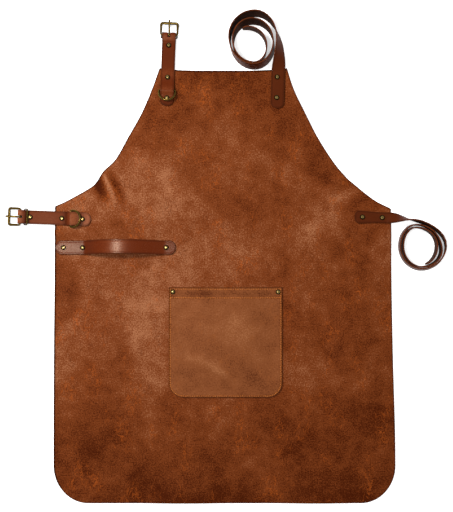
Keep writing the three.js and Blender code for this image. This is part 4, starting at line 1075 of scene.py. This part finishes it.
# Long ties
# Two long straps, riveted to the bib and to the right side. Each leaves the hide flat, twists on edge, and is
# rolled up beside the apron, grain side out, in turns that stand on the floor.
QUARTER_STEPS = 9
RUN_STEP, TIE_STEP = 0.004, 0.0022
TWIST_EASE = 0.008
LANDING_DELAY, LANDING_LENGTH = 0.003, 0.034
TIES = (
    {
        "name": "neck_tie", "end_width": STRAP_WIDTH, "width": STRAP_WIDTH, "tapers": 0.060, "edge": 1,
        "lean": (-0.0030, 0.0056), "lean_ends": 0.640, "lean_fade": 0.190,
        "last_quarter": 0.27, "starts_upright": True,
        "twist_from": 0.060, "twist_length": 0.103, "leaves": 0.074,
        "run": ((0.0963, 0.1982), (0.0979, 0.259), (0.0992, 0.277), (0.1000, 0.292)),
        "quarters": (
            (0.1000, 0.3050), (0.0568, 0.3664), (0.0109, 0.3205), (0.0546, 0.2716), (0.0896, 0.3110),
            (0.0512, 0.3524), (0.0172, 0.3155), (0.0536, 0.2759), (0.0769, 0.3060), (0.0430, 0.3402),
            (0.0180, 0.3160),
        ),
        "map": (4.2, 0.1),
    },
    {
        "name": "waist_tie", "end_width": 0.024, "width": 0.0195, "tapers": 0.044, "edge": -1,
        "lean": (-0.0026, 0.0038), "lean_ends": 0.340, "lean_fade": 0.110,
        "last_quarter": 0.92, "starts_upright": False,
        "twist_from": 0.056, "twist_length": 0.062, "leaves": 0.070,
        "run": ((0.2354, 0.0033), (0.2920, 0.0015), (0.3030, 0.0011)),
        "quarters": (
            (0.3080, 0.0009), (0.3974, -0.0500), (0.3540, -0.0909), (0.3149, -0.0495), (0.3440, -0.0110),
            (0.3888, -0.0570), (0.3535, -0.0863), (0.3202, -0.0495), (0.3435, -0.0160), (0.3808, -0.0490),
            (0.3530, -0.0832),
        ),
        "map": (5.7, 0.6),
    },
)


def tie_path(tie):
    """The tie's way in plan: over the hide, then round its roll on quarter ellipses from turn to turn."""
    path = []
    stops = [*tie["run"], tie["quarters"][0]]
    for first, second in zip(stops, stops[1:]):
        count = max(1, round(math.dist(first, second) / RUN_STEP))
        path += np.linspace(first, second, count, endpoint=False).tolist()
    for i, (first, second) in enumerate(zip(tie["quarters"], tie["quarters"][1:])):
        upright = tie["starts_upright"] == (i % 2 == 0)
        part = tie["last_quarter"] if i == len(tie["quarters"]) - 2 else 1.0
        for k in range(QUARTER_STEPS):
            angle = part * k / QUARTER_STEPS * math.pi / 2
            lead, lag = math.sin(angle), 1 - math.cos(angle)
            shares = (lag, lead) if upright else (lead, lag)
            path.append([a + (b - a) * s for a, b, s in zip(first, second, shares)])
    return np.array(path)


tie_grain = strap_material(
    "tie_grain", shade(38, 14, 5), shade(74, 30, 11), shade(112, 56, 29), rough=0.45, shine=0.05)
tie_flesh = flesh_material("tie_flesh", shade(34, 16, 7), shade(58, 28, 13))
tie_edge = flesh_material("tie_edge", shade(66, 29, 11), shade(100, 48, 22))
for tie in TIES:
    path = even_places(tie_path(tie), TIE_STEP)
    at = run_along(path)
    run, share = round_ended(at, tie["width"])
    plan = np.column_stack([np.interp(run, at, path[:, 0]), np.interp(run, at, path[:, 1])])
    heading = np.gradient(plan, run, axis=0)
    heading /= np.linalg.norm(heading, axis=1)[:, None]
    twisting = np.clip(run - tie["twist_from"], 0, None)
    twisting = np.where(twisting < TWIST_EASE, twisting**2 / (2 * TWIST_EASE), twisting - TWIST_EASE / 2)
    twisted = np.clip(twisting / (tie["twist_length"] - TWIST_EASE / 2), 0, 1)
    twist = math.pi / 2 * np.sin(math.pi / 2 * twisted)
    broad = tie["end_width"] + (tie["width"] - tie["end_width"]) * smooth(run / tie["tapers"])
    landed = smooth((run - tie["leaves"] - LANDING_DELAY) / LANDING_LENGTH)
    stand = (SEAT_TOP + GAP) * (1 - landed) + GROUND_GAP * landed
    level = stand + STRAP_WALL / 2 * np.cos(twist) + broad / 2 * np.sin(twist)
    fall = smooth((tie["lean_ends"] - run) / tie["lean_fade"]) * np.sin(twist) / tie["width"]
    up = np.column_stack([fall * tie["lean"][0], fall * tie["lean"][1], np.ones(len(run))])
    up /= np.linalg.norm(up, axis=1)[:, None]
    level_across = np.column_stack([-heading[:, 1], heading[:, 0], np.zeros(len(run))])
    across = level_across * np.cos(twist)[:, None] + tie["edge"] * up * np.sin(twist)[:, None]
    leather = strap_piece(f"{tie['name']}_leather", np.column_stack([plan, level]), across, broad * share,
                          (tie_grain, tie_flesh, tie_edge), tie["map"])
    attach(leather, "apron")
    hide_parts(tie["name"])


# Rivets
# Domed brass caps, each on a post through the leather with a flat back under it. Their places and heights
# are the frame's own, and the caps are rubbed bright on top, partly a painted highlight, and dark round the
# rim, partly oxide and partly painted shade.
CAP_RADIUS, CAP_RIM, CAP_HEIGHT = 0.0045, 0.0007, 0.0023
BACK_HEIGHT, POST_RADIUS, BACK_RADIUS, BACK_EDGE = 0.0012, 0.0015, 0.0040, 0.0003
RIVET_SIDES = 28
DOME_STEPS = 7
cap_brass = brass_material("cap_brass", shade(204, 172, 104), shade(24, 17, 6), rough=0.25)
for node in sorted(n for n in frame["nodes"] if "rivet" in n):
    low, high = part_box(node)
    seat, back = high.z - CAP_HEIGHT - GAP, low.z + BACK_HEIGHT
    profile = [(0.3 * BACK_RADIUS, low.z), (0.9 * BACK_RADIUS, low.z), (BACK_RADIUS, low.z + BACK_EDGE),
               (BACK_RADIUS, back), (POST_RADIUS, back), (POST_RADIUS, seat), (0.94 * CAP_RADIUS, seat),
               (CAP_RADIUS, seat + 0.35 * CAP_RIM + GAP), (0.97 * CAP_RADIUS, seat + CAP_RIM + GAP)]
    for angle in np.radians(np.linspace(12, 87, DOME_STEPS)):
        profile.append((0.95 * CAP_RADIUS * math.cos(angle),
                        seat + GAP + CAP_RIM + (CAP_HEIGHT - CAP_RIM) * math.sin(angle)))
    points, faces = lathe(profile, RIVET_SIDES)
    # Dark round the rim from oxide and painted shade, bright in the middle partly as a painted highlight
    darkening = np.clip((np.hypot(points[:, 0], points[:, 1]) / CAP_RADIUS - 0.15) * 1.3, 0, 1)
    centre = (low + high) / 2
    points[:, :2] += (centre.x, centre.y)
    brass_piece(f"{node}_brass", points, faces, darkening, node, "apron", cap_brass)
